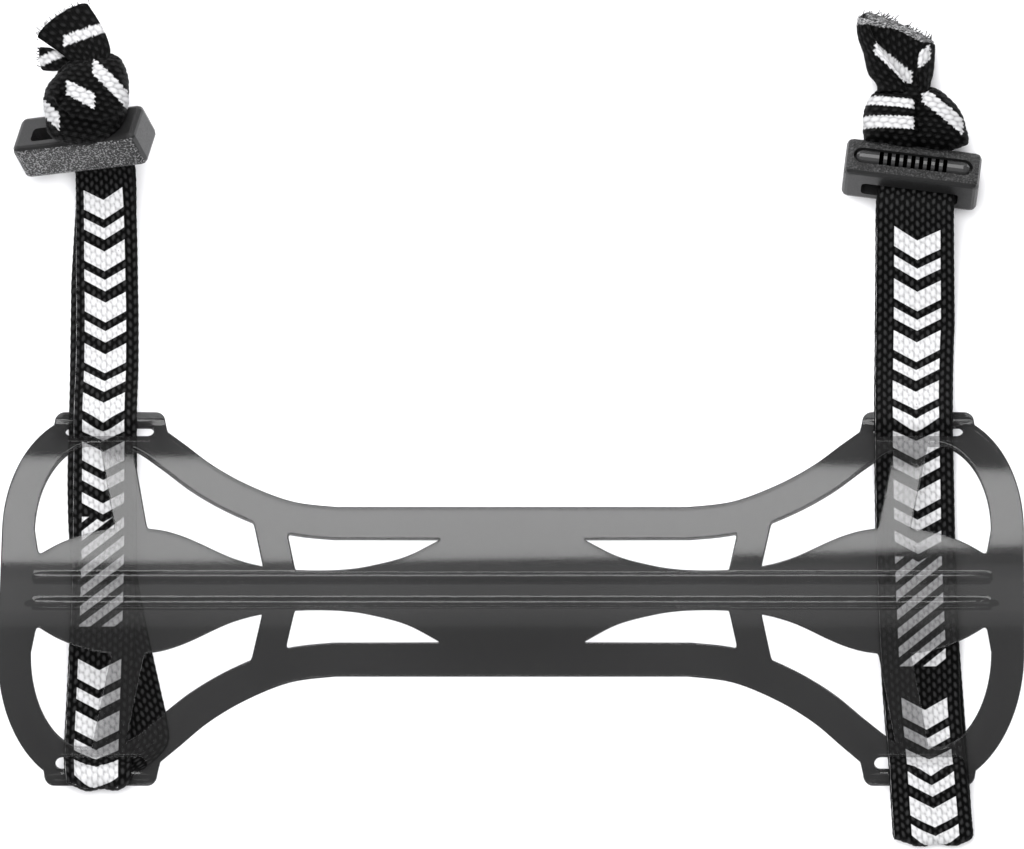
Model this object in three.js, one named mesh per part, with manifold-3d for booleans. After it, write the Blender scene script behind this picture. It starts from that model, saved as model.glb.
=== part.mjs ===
import * as THREE from "three";
import { mergeVertices } from "three/addons/utils/BufferGeometryUtils.js";
import Module from "manifold-3d";

// An archer's forearm guard, lying on its straps, in millimetres with +Z up.
// X runs along the forearm, Y around it, and the floor is at Z = 0.
// The plate is a skeleton of clear dark plastic, arched about X. Two elastic straps
// pass through the slots in its corner tabs, and each ends in a strap lock and a knot.

const wasm = await Module();
wasm.setup();

// Plate
const plateLength = 204;
const tabSpan = 74;
const archRadius = 56;
const plateWall = 1.5;
const waistWidth = 33.8;
const bandWidth = 6.6;
const lobeWidth = 25.2;
const strutWidth = 6.4;
const crossbarWidth = 6.2;
const cornerReach = 17;
const cornerRise = 24.6;

// Tabs, their slots and the round bars that the straps turn over
const tabInset = 20.8;
const tabWidth = 22.4;
const tabCorner = 2;
const slotLength = 18;
const slotWidth = 2.6;
const barDiameter = 2.4;

// Stiffening beads on the crown
const beadLength = 191;
const beadSpacing = 5.2;
const beadWidth = 1.4;
const beadHeight = 0.9;
const beadTaper = 5;

// Elastic webbing
const strapThickness = 1.3;
const leftStrapWidth = 14;
const rightStrapWidth = 15.7;
const gap = 0.3;
const layerGap = 0.4;
const rightFoldReach = 12.6;
const rampLength = 24;
const tailThickness = 2.4;

// Strap lock
const lockWidth = 27.2;
const lockHeight = 8.4;
const lockDepth = 9.5;
const lockRound = 1.1;
const lockSlotLength = 19.5;
const lockSlotSetback = 0.9;
const lockLead = 1;
const lockBeyond = 1.2;
const lockEntry = 1.5;
const flatLead = 3;
const pocketLength = 24;
const pocketHeight = 3.6;
const pocketDepth = 1.9;
const lockBarLength = 23;
const lockBarHeight = 2.8;
const lockBarDepth = 2.2;
const notchPitch = 1.6;
const notchCount = 9;
const notchWidth = 0.8;
const notchDepth = 0.45;

// The turn of webbing round a knot: its sweep and start in radians, how far it climbs,
// and the shares of the knot's half sizes at which it lies and at which its end sinks in
const turnSweep = 6.44;
const turnStart = 0.6;
const turnRise = 1.5;
const turnLie = 0.9;
const turnSink = 0.7;

// Where each strap lock lies, beside the middle of its tab and beyond the tab's edge, and how
// it is turned, and where each knot lies from its lock
const leftLock = {
  side: -1, aside: -4.3, beyond: 54.2, yaw: 32, pitch: 46, roll: -38, shift: 1.9, flip: true,
};
const rightLock = {
  side: 1, aside: -1.2, beyond: 48.2, yaw: -7, pitch: -26, roll: 0, shift: 1.4, flip: false,
};
const leftKnot = { dx: -0.5, dy: 7.5, z: 19.5, wide: 8, deep: 6.6, high: 7 };
const rightKnot = { dx: 1, dy: 11.8, z: 6.3, wide: 10, deep: 5.4, high: 5.6 };

// Share of the bar's radius, above its middle, that the shell beside it may reach
const lipShare = 0.4;

// Angles at which a run meets and leaves a bar, and how far from it the run is flat again
const wrapFrom = 75;
const wrapTo = 150;
const foldFrom = 50;
const foldTo = -80;
const risenReach = barDiameter * 2.2;
const flatReach = barDiameter * 4.5;
const underReach = barDiameter * 1.6;
const settleReach = barDiameter * 2.6;

// How finely curves are cut
const archSteps = 30;
const splineSteps = 3;
const cornerSteps = 10;
const runSteps = 3;
const wrapSteps = 4;
const foldSteps = 5;
const turnSteps = 12;

const halfLength = plateLength / 2;
const tabCentre = halfLength - tabInset;
const halfSpan = tabSpan / 2;
const innerRadius = archRadius - plateWall;
const middleRadius = archRadius - plateWall / 2;
const barRadius = barDiameter / 2;
const barY = halfSpan - barRadius;
const slotY = halfSpan - barDiameter - slotWidth / 2;

// Heights of the stack: strap, gap, strap, and the bar that rests on the lower strap
const lowerRunZ = strapThickness / 2;
const upperRunZ = lowerRunZ + strapThickness + layerGap;
const barZ = strapThickness + gap + barRadius;
const archCentreZ = barZ - Math.sqrt(middleRadius ** 2 - barY ** 2);
const crownZ = archCentreZ + archRadius;

// Rim of the plate from the end of its straight waist to the top of its corner.
// along is a share of the half length, rise a share of the way from waist to tab.
const rimRows = [
  { along: 0.343, rise: 0 },
  { along: 0.43, rise: 0.055 },
  { along: 0.515, rise: 0.22 },
  { along: 0.588, rise: 0.43 },
  { along: 0.651, rise: 0.68 },
  { along: 0.709, rise: 0.89 },
  { along: 0.765, rise: 0.985 },
];

// Edge of the spine and its lobes. half is a share of half the lobe's width.
const spineRows = [
  { along: 0.13, half: 0.86 },
  { along: 0.16, half: 0.725 },
  { along: 0.193, half: 0.585 },
  { along: 0.225, half: 0.49 },
  { along: 0.265, half: 0.41 },
  { along: 0.304, half: 0.35 },
  { along: 0.353, half: 0.318 },
  { along: 0.42, half: 0.322 },
  { along: 0.49, half: 0.385 },
  { along: 0.541, half: 0.495 },
  { along: 0.578, half: 0.62 },
  { along: 0.613, half: 0.755 },
  { along: 0.649, half: 0.875 },
  { along: 0.69, half: 0.965 },
  { along: 0.745, half: 1 },
  { along: 0.8, half: 0.97 },
  { along: 0.848, half: 0.87 },
  { along: 0.892, half: 0.725 },
  { along: 0.938, half: 0.5 },
];

// Centre lines of the slanted bars, as shares of the half length and the half span
const strutLine = { fromAlong: 0.783, fromOut: 0.83, toAlong: 0.742, toOut: 0.27 };
const crossbarLine = { fromAlong: 0.478, fromOut: 0.4, toAlong: 0.453, toOut: 0.09 };

// Sideways drift of each strap run. at is a share of the half span, shift of the strap's width.
const leftFront = [
  { at: -1.1, shift: -0.07 },
  { at: -0.85, shift: -0.06 },
  { at: 0, shift: -0.05 },
  { at: 1, shift: -0.015 },
  { at: 1.5, shift: 0.02 },
];
const leftBack = [
  { at: -1.04, shift: 0.02 },
  { at: -0.8, shift: 0.2 },
  { at: -0.6, shift: 0.27 },
  { at: -0.3, shift: 0.18 },
  { at: 0, shift: 0.02 },
  { at: 0.3, shift: -0.08 },
  { at: 0.8, shift: -0.09 },
  { at: 1.5, shift: 0.02 },
];
const rightFront = [
  { at: -1.33, shift: 0.15 },
  { at: -1.1, shift: 0.06 },
  { at: -0.85, shift: -0.01 },
  { at: -0.3, shift: -0.01 },
  { at: 0.5, shift: -0.035 },
  { at: 1.5, shift: -0.04 },
];
const rightBack = [
  { at: -1.33, shift: 0.16 },
  { at: -1, shift: 0.1 },
  { at: 0, shift: 0.01 },
  { at: 1.5, shift: -0.04 },
];

// Tails of the knots. along, aside and up are shares of the strap's width from the
// knot's centre, and wide is the tail's width there.
const rightTail = [
  { aside: -0.1, along: 0.1, up: 0, wide: 0.5 },
  { aside: -0.19, along: 0.42, up: 0.04, wide: 0.6 },
  { aside: -0.24, along: 0.66, up: 0.07, wide: 0.92 },
  { aside: -0.25, along: 0.95, up: 0.03, wide: 0.97 },
  { aside: -0.25, along: 1.22, up: -0.05, wide: 0.86 },
];
const leftTail = [
  { aside: 0, along: 0.15, up: 0, wide: 0.5 },
  { aside: -0.02, along: 0.5, up: 0.04, wide: 0.52 },
  { aside: -0.09, along: 0.8, up: 0.04, wide: 0.88 },
  { aside: -0.14, along: 1.08, up: -0.05, wide: 0.98 },
  { aside: -0.2, along: 1.34, up: -0.16, wide: 0.72 },
];
const leftStub = [
  { aside: -0.2, along: 0.2, up: -0.08, wide: 0.42 },
  { aside: -0.42, along: 0.48, up: -0.12, wide: 0.56 },
  { aside: -0.57, along: 0.76, up: -0.2, wide: 0.5 },
];

function merged(geometry) {
  const bare = geometry.index ? geometry.toNonIndexed() : geometry.clone();
  bare.deleteAttribute("normal");
  bare.deleteAttribute("uv");
  return mergeVertices(bare, 1e-4);
}

function solidOf(geometry) {
  const welded = merged(geometry);
  const vertProperties = new Float32Array(welded.attributes.position.array);
  const triVerts = new Uint32Array(welded.index.array);
  return new wasm.Manifold(new wasm.Mesh({ numProp: 3, vertProperties, triVerts }));
}

function geometryOf(solid) {
  const mesh = solid.getMesh();
  const geometry = new THREE.BufferGeometry();
  geometry.setAttribute("position", new THREE.BufferAttribute(mesh.vertProperties, 3));
  geometry.setIndex(new THREE.BufferAttribute(mesh.triVerts, 1));
  geometry.computeVertexNormals();
  return geometry;
}

// A flat outline turned into an upright prism that the arched shell is cut with
function prism(points) {
  const depth = crownZ * 4;
  const geometry = new THREE.ExtrudeGeometry(new THREE.Shape(points), { depth, bevelEnabled: false });
  geometry.translate(0, 0, -depth / 2);
  return solidOf(geometry);
}

function mirroredLoop(quarter) {
  const right = [...quarter, ...[...quarter].reverse().map((p) => new THREE.Vector2(p.x, -p.y))];
  const left = [...right].reverse().map((p) => new THREE.Vector2(-p.x, p.y));
  return [...right.reverse(), ...left.reverse()].reverse();
}

function rimQuarter() {
  const waist = waistWidth / 2;
  const cornerX = halfLength - cornerReach;
  const rows = rimRows.map(
    (row) => new THREE.Vector2(row.along * halfLength, waist + row.rise * (halfSpan - waist))
  );
  rows.push(new THREE.Vector2(cornerX, halfSpan));
  const flare = new THREE.SplineCurve(rows).getPoints((rows.length - 1) * splineSteps);
  const corner = new THREE.EllipseCurve(
    cornerX, halfSpan - cornerRise, cornerReach, cornerRise, Math.PI / 2, 0, true
  );
  return [...flare, ...corner.getPoints(cornerSteps).slice(1)];
}

function offsetInward(points, distance) {
  return points.map((point, i) => {
    const before = points[Math.max(i - 1, 0)];
    const after = points[Math.min(i + 1, points.length - 1)];
    const along = after.clone().sub(before).normalize();
    return new THREE.Vector2(point.x + along.y * distance, point.y - along.x * distance);
  });
}

function spineQuarter() {
  const rows = spineRows.map(
    (row) => new THREE.Vector2(row.along * halfLength, (row.half * lobeWidth) / 2)
  );
  const edge = new THREE.SplineCurve(rows).getPoints((rows.length - 1) * 2);
  const last = edge[edge.length - 1];
  return [...edge, new THREE.Vector2(halfLength - bandWidth / 2, last.y * 0.7)];
}

function slantedBar(line, width, sideX, sideY) {
  const from = new THREE.Vector2(line.fromAlong * halfLength, line.fromOut * halfSpan);
  const to = new THREE.Vector2(line.toAlong * halfLength, line.toOut * halfSpan);
  const across = to.clone().sub(from).normalize().multiplyScalar(width / 2);
  const corners = [
    new THREE.Vector2(from.x - across.y, from.y + across.x),
    new THREE.Vector2(to.x - across.y, to.y + across.x),
    new THREE.Vector2(to.x + across.y, to.y - across.x),
    new THREE.Vector2(from.x + across.y, from.y - across.x),
  ];
  return prism(corners.map((p) => new THREE.Vector2(p.x * sideX, p.y * sideY)));
}

function roundedRectangle(width, height, radius, steps) {
  const points = [];
  for (let corner = 0; corner < 4; corner++) {
    const cx = (corner === 0 || corner === 3 ? 1 : -1) * (width / 2 - radius);
    const cy = (corner < 2 ? 1 : -1) * (height / 2 - radius);
    for (let step = 0; step <= steps; step++) {
      const angle = ((corner + step / steps) * Math.PI) / 2;
      points.push(new THREE.Vector2(cx + radius * Math.cos(angle), cy + radius * Math.sin(angle)));
    }
  }
  return points;
}

function shifted(points, x, y) {
  return points.map((p) => new THREE.Vector2(p.x + x, p.y + y));
}

// The arched shell: a ring sector in the YZ plane, drawn out along X
function archedShell() {
  const reach = Math.asin(Math.min(0.98, (halfSpan + 1) / innerRadius));
  const outline = [];
  for (let step = 0; step <= archSteps; step++) {
    const angle = -reach + (2 * reach * step) / archSteps;
    outline.push(new THREE.Vector2(archRadius * Math.sin(angle), archRadius * Math.cos(angle)));
  }
  for (let step = archSteps; step >= 0; step--) {
    const angle = -reach + (2 * reach * step) / archSteps;
    outline.push(new THREE.Vector2(innerRadius * Math.sin(angle), innerRadius * Math.cos(angle)));
  }
  const depth = plateLength + 2;
  const geometry = new THREE.ExtrudeGeometry(new THREE.Shape(outline), { depth, bevelEnabled: false });
  geometry.translate(0, archCentreZ, -depth / 2);
  geometry.rotateX(Math.PI / 2);
  geometry.rotateZ(Math.PI / 2);
  return solidOf(geometry);
}

// A bead is a spindle with tapered ends, half sunk into the crown
function crownBead(side) {
  const half = beadLength / 2;
  const profile = [new THREE.Vector2(0, -half)];
  for (const share of [0.15, 0.4, 0.7, 1]) {
    profile.push(new THREE.Vector2(Math.sqrt(share), -half + beadTaper * share));
  }
  const far = profile.map((p) => new THREE.Vector2(p.x, -p.y)).reverse();
  const geometry = new THREE.LatheGeometry([...profile, ...far], 10);
  geometry.rotateZ(-Math.PI / 2);
  geometry.scale(1, beadWidth / 2, beadHeight);
  const y = (side * beadSpacing) / 2;
  geometry.translate(0, y, archCentreZ + Math.sqrt(archRadius ** 2 - y ** 2));
  return solidOf(geometry);
}

function tabBar(sideX, sideY) {
  const length = tabWidth - 2 * tabCorner + barRadius;
  const geometry = new THREE.CapsuleGeometry(barRadius, length - barDiameter, 3, 12);
  geometry.rotateZ(Math.PI / 2);
  geometry.translate(sideX * tabCentre, sideY * barY, barZ);
  return solidOf(geometry);
}

// Clears the shell above the bars, so that only the round bars carry the straps
function lipCut(side) {
  const reach = barDiameter * 2;
  const cut = new THREE.BoxGeometry(plateLength, reach, crownZ);
  const y = halfSpan - barDiameter - gap + reach / 2;
  cut.translate(0, side * y, barZ + barRadius * lipShare + crownZ / 2);
  return solidOf(cut);
}

function guardPlate() {
  const rim = rimQuarter();
  const outer = prism(mirroredLoop(rim));
  const inner = prism(mirroredLoop(offsetInward(rim, bandWidth)));
  let plan = outer.subtract(inner).add(prism(mirroredLoop(spineQuarter())));
  for (const sideX of [-1, 1]) {
    for (const sideY of [-1, 1]) {
      const tab = roundedRectangle(tabWidth, 2 * tabCorner + bandWidth / 2, tabCorner, 3);
      const tabY = halfSpan - tabCorner - bandWidth / 4;
      const slot = roundedRectangle(slotLength, slotWidth, slotWidth / 2, 4);
      plan = plan
        .add(slantedBar(strutLine, strutWidth, sideX, sideY))
        .add(slantedBar(crossbarLine, crossbarWidth, sideX, sideY))
        .add(prism(shifted(tab, sideX * tabCentre, sideY * tabY)))
        .subtract(prism(shifted(slot, sideX * tabCentre, sideY * slotY)));
    }
  }
  const trim = prism(roundedRectangle(plateLength + 2, 2 * barY, tabCorner, 3));
  let plate = plan.intersect(trim).intersect(archedShell());
  for (const side of [-1, 1]) {
    plate = plate.subtract(lipCut(side));
  }
  for (const sideX of [-1, 1]) {
    for (const sideY of [-1, 1]) {
      plate = plate.add(tabBar(sideX, sideY));
    }
  }
  return plate.add(crownBead(-1)).add(crownBead(1));
}

// A thin strip with pointed edges, swept through stations that each give its centre,
// the direction across it and its width. The floor flattens what would reach below it.
function ribbon(stations, thickness) {
  const positions = [];
  const index = [];
  const sides = 6;
  stations.forEach((station, i) => {
    const before = stations[Math.max(i - 1, 0)].at;
    const after = stations[Math.min(i + 1, stations.length - 1)].at;
    const along = after.clone().sub(before).normalize();
    const across = station.across.clone().addScaledVector(along, -station.across.dot(along)).normalize();
    const face = across.clone().cross(along);
    const half = station.width / 2;
    const flat = half - thickness / 2;
    const section = [[half, 0], [flat, 0.5], [-flat, 0.5], [-half, 0], [-flat, -0.5], [flat, -0.5]];
    for (const [wide, thick] of section) {
      const corner = station.at.clone().addScaledVector(across, wide);
      corner.addScaledVector(face, thick * thickness);
      corner.z = Math.max(corner.z, 0);
      positions.push(corner.x, corner.y, corner.z);
    }
  });
  for (let ring = 0; ring < stations.length - 1; ring++) {
    for (let side = 0; side < sides; side++) {
      const a = ring * sides + side;
      const b = ring * sides + ((side + 1) % sides);
      index.push(a, a + sides, b, b, a + sides, b + sides);
    }
  }
  const last = (stations.length - 1) * sides;
  for (let side = 1; side < sides - 1; side++) {
    index.push(0, side, side + 1, last, last + side + 1, last + side);
  }
  const geometry = new THREE.BufferGeometry();
  geometry.setAttribute("position", new THREE.Float32BufferAttribute(positions, 3));
  geometry.setIndex(index);
  return solidOf(geometry);
}

// Runs a smooth curve through the keys, with the steps that each key asks for after it.
// The floor keeps the webbing's middle half its thickness up.
function smoothed(keys, steps) {
  const curve = new THREE.CatmullRomCurve3(keys.map((key) => key.at), false, "centripetal");
  const spans = keys.length - 1;
  const stations = [];
  keys.forEach((key, i) => {
    const next = keys[Math.min(i + 1, spans)];
    const count = i === spans ? 1 : key.steps ?? steps;
    for (let step = 0; step < count; step++) {
      const share = step / count;
      const at = curve.getPoint((i + share) / spans);
      at.z = Math.max(at.z, lowerRunZ);
      stations.push({
        at,
        across: key.across.clone().lerp(next.across, share),
        width: THREE.MathUtils.lerp(key.width, next.width, share),
      });
    }
  });
  return stations;
}

function driftAt(rows, at) {
  const after = rows.findIndex((row) => row.at >= at);
  if (after === -1) return rows[rows.length - 1].shift;
  if (after === 0) return rows[0].shift;
  const low = rows[after - 1];
  const high = rows[after];
  return THREE.MathUtils.lerp(low.shift, high.shift, (at - low.at) / (high.at - low.at));
}

// Strap lock, modelled about its middle: X across the strap, Y along it, Z out of its face
function lockBody() {
  const outline = roundedRectangle(lockWidth - 2 * lockRound, lockDepth - 2 * lockRound, 0.4, 2);
  const body = new THREE.ExtrudeGeometry(new THREE.Shape(outline), {
    depth: lockHeight - 2 * lockRound,
    bevelThickness: lockRound,
    bevelSize: lockRound,
    bevelSegments: 3,
  });
  body.translate(0, 0, lockRound - lockHeight / 2);
  body.rotateX(Math.PI / 2);
  const slotHeight = 2 * strapThickness + layerGap + 2 * gap;
  const slotOutline = roundedRectangle(lockSlotLength, slotHeight, 0.8, 2);
  const slot = new THREE.ExtrudeGeometry(new THREE.Shape(slotOutline), {
    depth: lockHeight * 2, bevelEnabled: false,
  });
  slot.translate(0, 0, -lockHeight);
  slot.rotateX(Math.PI / 2);
  slot.translate(0, 0, -lockSlotSetback);
  const pocketOutline = roundedRectangle(pocketLength, pocketHeight, pocketHeight / 2 - 0.01, 5);
  const pocket = new THREE.ExtrudeGeometry(new THREE.Shape(pocketOutline), {
    depth: pocketDepth * 2, bevelEnabled: false,
  });
  pocket.translate(0, 0, lockDepth / 2 - pocketDepth);
  return solidOf(body).subtract(solidOf(slot)).subtract(solidOf(pocket));
}

function lockBar() {
  const bar = new THREE.CapsuleGeometry(lockBarHeight / 2, lockBarLength - lockBarHeight, 3, 12);
  bar.rotateZ(Math.PI / 2);
  bar.scale(1, 1, lockBarDepth / lockBarHeight);
  let solid = solidOf(bar);
  for (let i = 0; i < notchCount; i++) {
    const notch = new THREE.BoxGeometry(notchWidth, lockBarHeight * 2, notchDepth * 2);
    notch.translate((i - (notchCount - 1) / 2) * notchPitch, 0, lockBarDepth / 2);
    solid = solid.subtract(solidOf(notch));
  }
  return solid.translate([0, 0, lockDepth / 2 - pocketDepth + gap + lockBarDepth / 2]);
}

function lockAt(lock) {
  return new THREE.Vector2(lock.side * tabCentre + lock.aside, halfSpan + lock.beyond);
}

// Turns a strap lock as it lies and lifts it until its lowest corner is on the floor
function lockPlacement(lock) {
  const radians = THREE.MathUtils.degToRad;
  const turn = new THREE.Euler(radians(lock.pitch), radians(lock.roll), radians(lock.yaw), "ZXY");
  const placement = new THREE.Matrix4().makeRotationFromEuler(turn);
  const flip = new THREE.Matrix4().makeRotationY(lock.flip ? Math.PI : 0);
  const faced = placement.clone().multiply(flip);
  const lowest = placed(lockBody(), faced).boundingBox().min[2];
  const at = lockAt(lock);
  const lift = new THREE.Matrix4().makeTranslation(at.x, at.y, -lowest);
  return { strap: lift.clone().multiply(placement), body: lift.clone().multiply(faced) };
}

function placed(solid, matrix) {
  return solid.transform(matrix.elements);
}

// Keys of the two runs between the tab and the knot, which lie on each other
function pairedKeys(spec, side) {
  const { lock, width } = spec;
  const placement = lockPlacement(lock).strap;
  const slotZ = (lock.flip ? 1 : -1) * lockSlotSetback;
  const offset = (side * (strapThickness + layerGap)) / 2;
  const inLock = (y) => ({
    at: new THREE.Vector3(lock.shift, y, slotZ + offset).applyMatrix4(placement),
    across: new THREE.Vector3(1, 0, 0).transformDirection(placement),
    width,
  });
  const mouth = lockHeight / 2 + lockLead;
  const entry = inLock(-mouth - lockEntry);
  const flatY = entry.at.y - rampLength;
  return [
    inLock(mouth + lockBeyond),
    inLock(mouth),
    inLock(0),
    inLock(-mouth),
    entry,
    onFloor(spec, side, flatY),
    onFloor(spec, side, flatY - flatLead),
  ];
}

function runKey(spec, side, y, z) {
  const rows = side > 0 ? spec.front : spec.back;
  const x = spec.side * tabCentre + driftAt(rows, y / halfSpan) * spec.width;
  return { at: new THREE.Vector3(x, y, z), across: new THREE.Vector3(1, 0, 0), width: spec.width };
}

function onFloor(spec, side, y) {
  return runKey(spec, side, y, side > 0 ? upperRunZ : lowerRunZ);
}

// Keys over one tab's bar. end is 1 at the far tab and -1 at the near one.
function overBar(spec, end, fromDegrees, toDegrees, count) {
  const reach = barRadius + gap + strapThickness / 2;
  const keys = [];
  for (let i = 0; i <= count; i++) {
    const angle = THREE.MathUtils.degToRad(fromDegrees + ((toDegrees - fromDegrees) * i) / count);
    const y = end * (barY + reach * Math.cos(angle));
    keys.push({ ...runKey(spec, 1, y, barZ + reach * Math.sin(angle)), steps: 1 });
  }
  return keys;
}

function frontKeys(spec) {
  const risen = upperRunZ + barRadius;
  const under = barY - underReach;
  const settle = barY - settleReach;
  return [
    onFloor(spec, 1, barY + flatReach),
    runKey(spec, 1, barY + risenReach, risen),
    ...overBar(spec, 1, wrapFrom, wrapTo, wrapSteps),
    runKey(spec, 1, under, upperRunZ + gap),
    onFloor(spec, 1, settle),
    onFloor(spec, 1, 0),
    onFloor(spec, 1, -settle),
    runKey(spec, 1, -under, upperRunZ + gap),
    ...overBar(spec, -1, wrapTo, wrapFrom, wrapSteps),
  ];
}

// The near fold: round the bar on a tight strap, or some way past it on a slack one
function foldKeys(spec) {
  if (!spec.slackFold) return overBar(spec, -1, foldFrom, foldTo, foldSteps);
  const bend = (upperRunZ - lowerRunZ) / 2 + gap;
  const y = -(halfSpan + spec.slackFold - bend - strapThickness / 2);
  const keys = [runKey(spec, 1, (y - halfSpan) / 2, upperRunZ + barRadius)];
  for (let i = 0; i <= foldSteps; i++) {
    const angle = Math.PI / 2 - (Math.PI * i) / foldSteps;
    const at = y - bend * Math.cos(angle);
    keys.push({ ...runKey(spec, 1, at, lowerRunZ + bend + bend * Math.sin(angle)), steps: 1 });
  }
  return keys;
}

function backKeys(spec) {
  const shares = [-0.86, -0.6, -0.3, 0, 0.4, 0.9, 1.25];
  return shares.map((share) => onFloor(spec, -1, share * halfSpan));
}

function tailRibbon(rows, spec, thickness, tilt) {
  const keys = rows.map((row) => ({
    at: new THREE.Vector3(row.aside, row.along, row.up).multiplyScalar(spec.width).add(spec.knotAt),
    across: new THREE.Vector3(Math.cos(tilt), 0, Math.sin(tilt)),
    width: row.wide * spec.width,
  }));
  return ribbon(smoothed(keys, runSteps), thickness);
}

// The largest body of a solid, without the slivers that a join may leave in its folds
function mainBody(solid) {
  const bodies = solid.decompose();
  return bodies.reduce((most, body) => (body.volume() > most.volume() ? body : most));
}

// A knot: a core, a turn of webbing round it and the tails
function knotSolid(spec) {
  const { knot, knotAt, frame } = spec;
  const core = new THREE.SphereGeometry(1, 14, 9);
  core.scale(knot.wide * 0.86, knot.deep * 0.95, knot.high * 0.86);
  const turn = new THREE.Matrix4().makeBasis(...frame).setPosition(knotAt);
  core.applyMatrix4(turn);
  const keys = [];
  for (let i = 0; i <= turnSteps; i++) {
    const share = i / turnSteps;
    const angle = share * turnSweep + turnStart;
    const sink = i === turnSteps ? turnSink : turnLie;
    const at = new THREE.Vector3(Math.cos(angle) * knot.wide * sink, (share - 0.5) * turnRise, 0);
    at.z = Math.sin(angle) * knot.high * sink;
    keys.push({ at: at.applyMatrix4(turn), across: frame[1], width: knot.deep * 1.5, steps: 2 });
  }
  return solidOf(core).add(ribbon(smoothed(keys, 2), strapThickness));
}

function strap(spec) {
  const { lock, knot } = spec;
  const placement = lockPlacement(lock).strap;
  const at = lockAt(lock);
  spec.knotAt = new THREE.Vector3(at.x + knot.dx, at.y + knot.dy, knot.z);
  const frame = [new THREE.Vector3(), new THREE.Vector3(), new THREE.Vector3()];
  if (spec.knotFollowsLock) placement.extractBasis(...frame);
  else new THREE.Matrix4().makeRotationZ(THREE.MathUtils.degToRad(lock.yaw)).extractBasis(...frame);
  spec.frame = frame;
  const inKnot = (side) => ({
    at: spec.knotAt.clone().addScaledVector(frame[2], side * strapThickness),
    across: frame[0],
    width: spec.width * 0.8,
  });
  const keys = [
    inKnot(1),
    ...pairedKeys(spec, 1),
    ...frontKeys(spec),
    ...foldKeys(spec),
    ...backKeys(spec),
    ...pairedKeys(spec, -1).reverse(),
    inKnot(-1),
  ];
  let solid = ribbon(smoothed(keys, runSteps), strapThickness).add(knotSolid(spec));
  for (const tail of spec.tails) {
    solid = solid.add(tailRibbon(tail, spec, tailThickness, spec.tailTilt));
  }
  return mainBody(solid);
}

const leftStrap = {
  side: -1, width: leftStrapWidth, front: leftFront, back: leftBack, lock: leftLock,
  knot: leftKnot, slackFold: 0, tails: [leftTail, leftStub], tailTilt: 0.35,
  knotFollowsLock: true,
};
const rightStrap = {
  side: 1, width: rightStrapWidth, front: rightFront, back: rightBack, lock: rightLock,
  knot: rightKnot, slackFold: rightFoldReach, tails: [rightTail], tailTilt: 0.1,
  knotFollowsLock: false,
};

const smokedPlastic = new THREE.MeshStandardMaterial({
  color: 0x3a3b3d, roughness: 0.12, metalness: 0, transparent: true, opacity: 0.72,
});
const webbing = new THREE.MeshStandardMaterial({ color: 0x111112, roughness: 0.85, metalness: 0 });
const blackPlastic = new THREE.MeshStandardMaterial({ color: 0x1c1c1d, roughness: 0.5, metalness: 0 });

function part(name, solid, material) {
  const mesh = new THREE.Mesh(geometryOf(solid), material);
  mesh.name = name;
  return mesh;
}

const group = new THREE.Group();
group.add(part("guard_plate", guardPlate(), smokedPlastic));
for (const [name, spec] of [["left", leftStrap], ["right", rightStrap]]) {
  const { body } = lockPlacement(spec.lock);
  group.add(part(`${name}_strap`, strap(spec), webbing));
  group.add(part(`${name}_lock_body`, placed(lockBody(), body), blackPlastic));
  group.add(part(`${name}_lock_bar`, placed(lockBar(), body), blackPlastic));
}

// The origin is on the floor, under the middle of the whole guard
const extent = new THREE.Box3().setFromObject(group);
const middle = extent.getCenter(new THREE.Vector3());
group.position.set(-middle.x, -middle.y, -extent.min.z);

export default group;
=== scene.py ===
import math

import bmesh
import bpy
import numpy as np
from mathutils import Matrix, Vector


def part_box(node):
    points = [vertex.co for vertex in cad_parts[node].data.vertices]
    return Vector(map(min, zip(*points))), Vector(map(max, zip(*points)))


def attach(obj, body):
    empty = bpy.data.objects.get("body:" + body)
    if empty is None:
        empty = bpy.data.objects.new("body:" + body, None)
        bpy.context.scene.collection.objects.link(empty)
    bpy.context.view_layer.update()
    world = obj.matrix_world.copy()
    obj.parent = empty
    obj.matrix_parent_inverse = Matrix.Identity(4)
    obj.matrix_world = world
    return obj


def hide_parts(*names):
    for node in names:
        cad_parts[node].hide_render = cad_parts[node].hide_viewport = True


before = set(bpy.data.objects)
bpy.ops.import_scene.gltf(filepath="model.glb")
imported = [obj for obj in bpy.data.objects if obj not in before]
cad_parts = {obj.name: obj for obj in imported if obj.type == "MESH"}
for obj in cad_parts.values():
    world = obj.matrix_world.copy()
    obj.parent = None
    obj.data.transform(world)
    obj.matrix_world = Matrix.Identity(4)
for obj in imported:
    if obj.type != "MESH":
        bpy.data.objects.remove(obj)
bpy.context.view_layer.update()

# The part is worked out in millimetres, as it was built, and set down in metres
MM = 0.001

# Plate
PLATE_LENGTH = 204
TAB_SPAN = 74
ARCH_RADIUS = 56
PLATE_WALL = 1.5
WAIST_WIDTH = 33.8
BAND_WIDTH = 6.6
LOBE_WIDTH = 25.2
STRUT_WIDTH = 6.4
CROSSBAR_WIDTH = 6.2
CORNER_REACH = 17
CORNER_RISE = 24.6
TAB_CENTRE = 81.2
TAB_WIDTH = 22.4
TAB_CORNER = 2
SLOT_LENGTH = 18
SLOT_WIDTH = 2.6
BAR_DIAMETER = 2.4
BEAD_LENGTH = 191
BEAD_SPACING = 5.2
BEAD_WIDTH = 1.5
BEAD_HEIGHT = 0.85
BEAD_TAPER = 9
EDGE_ROUND = 0.28
# How far the left end, pulled by its strap, leans for each millimetre across
SHEAR = 0.03

# Webbing and strap locks
STRAP_THICKNESS = 1.3
GAP = 0.3
LAYER_GAP = 0.4
FOLD_REACH = 12.6
RAMP_LENGTH = 24
LOCK_HEIGHT = 8.4
LOCK_SLOT_SETBACK = 0.9

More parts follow.
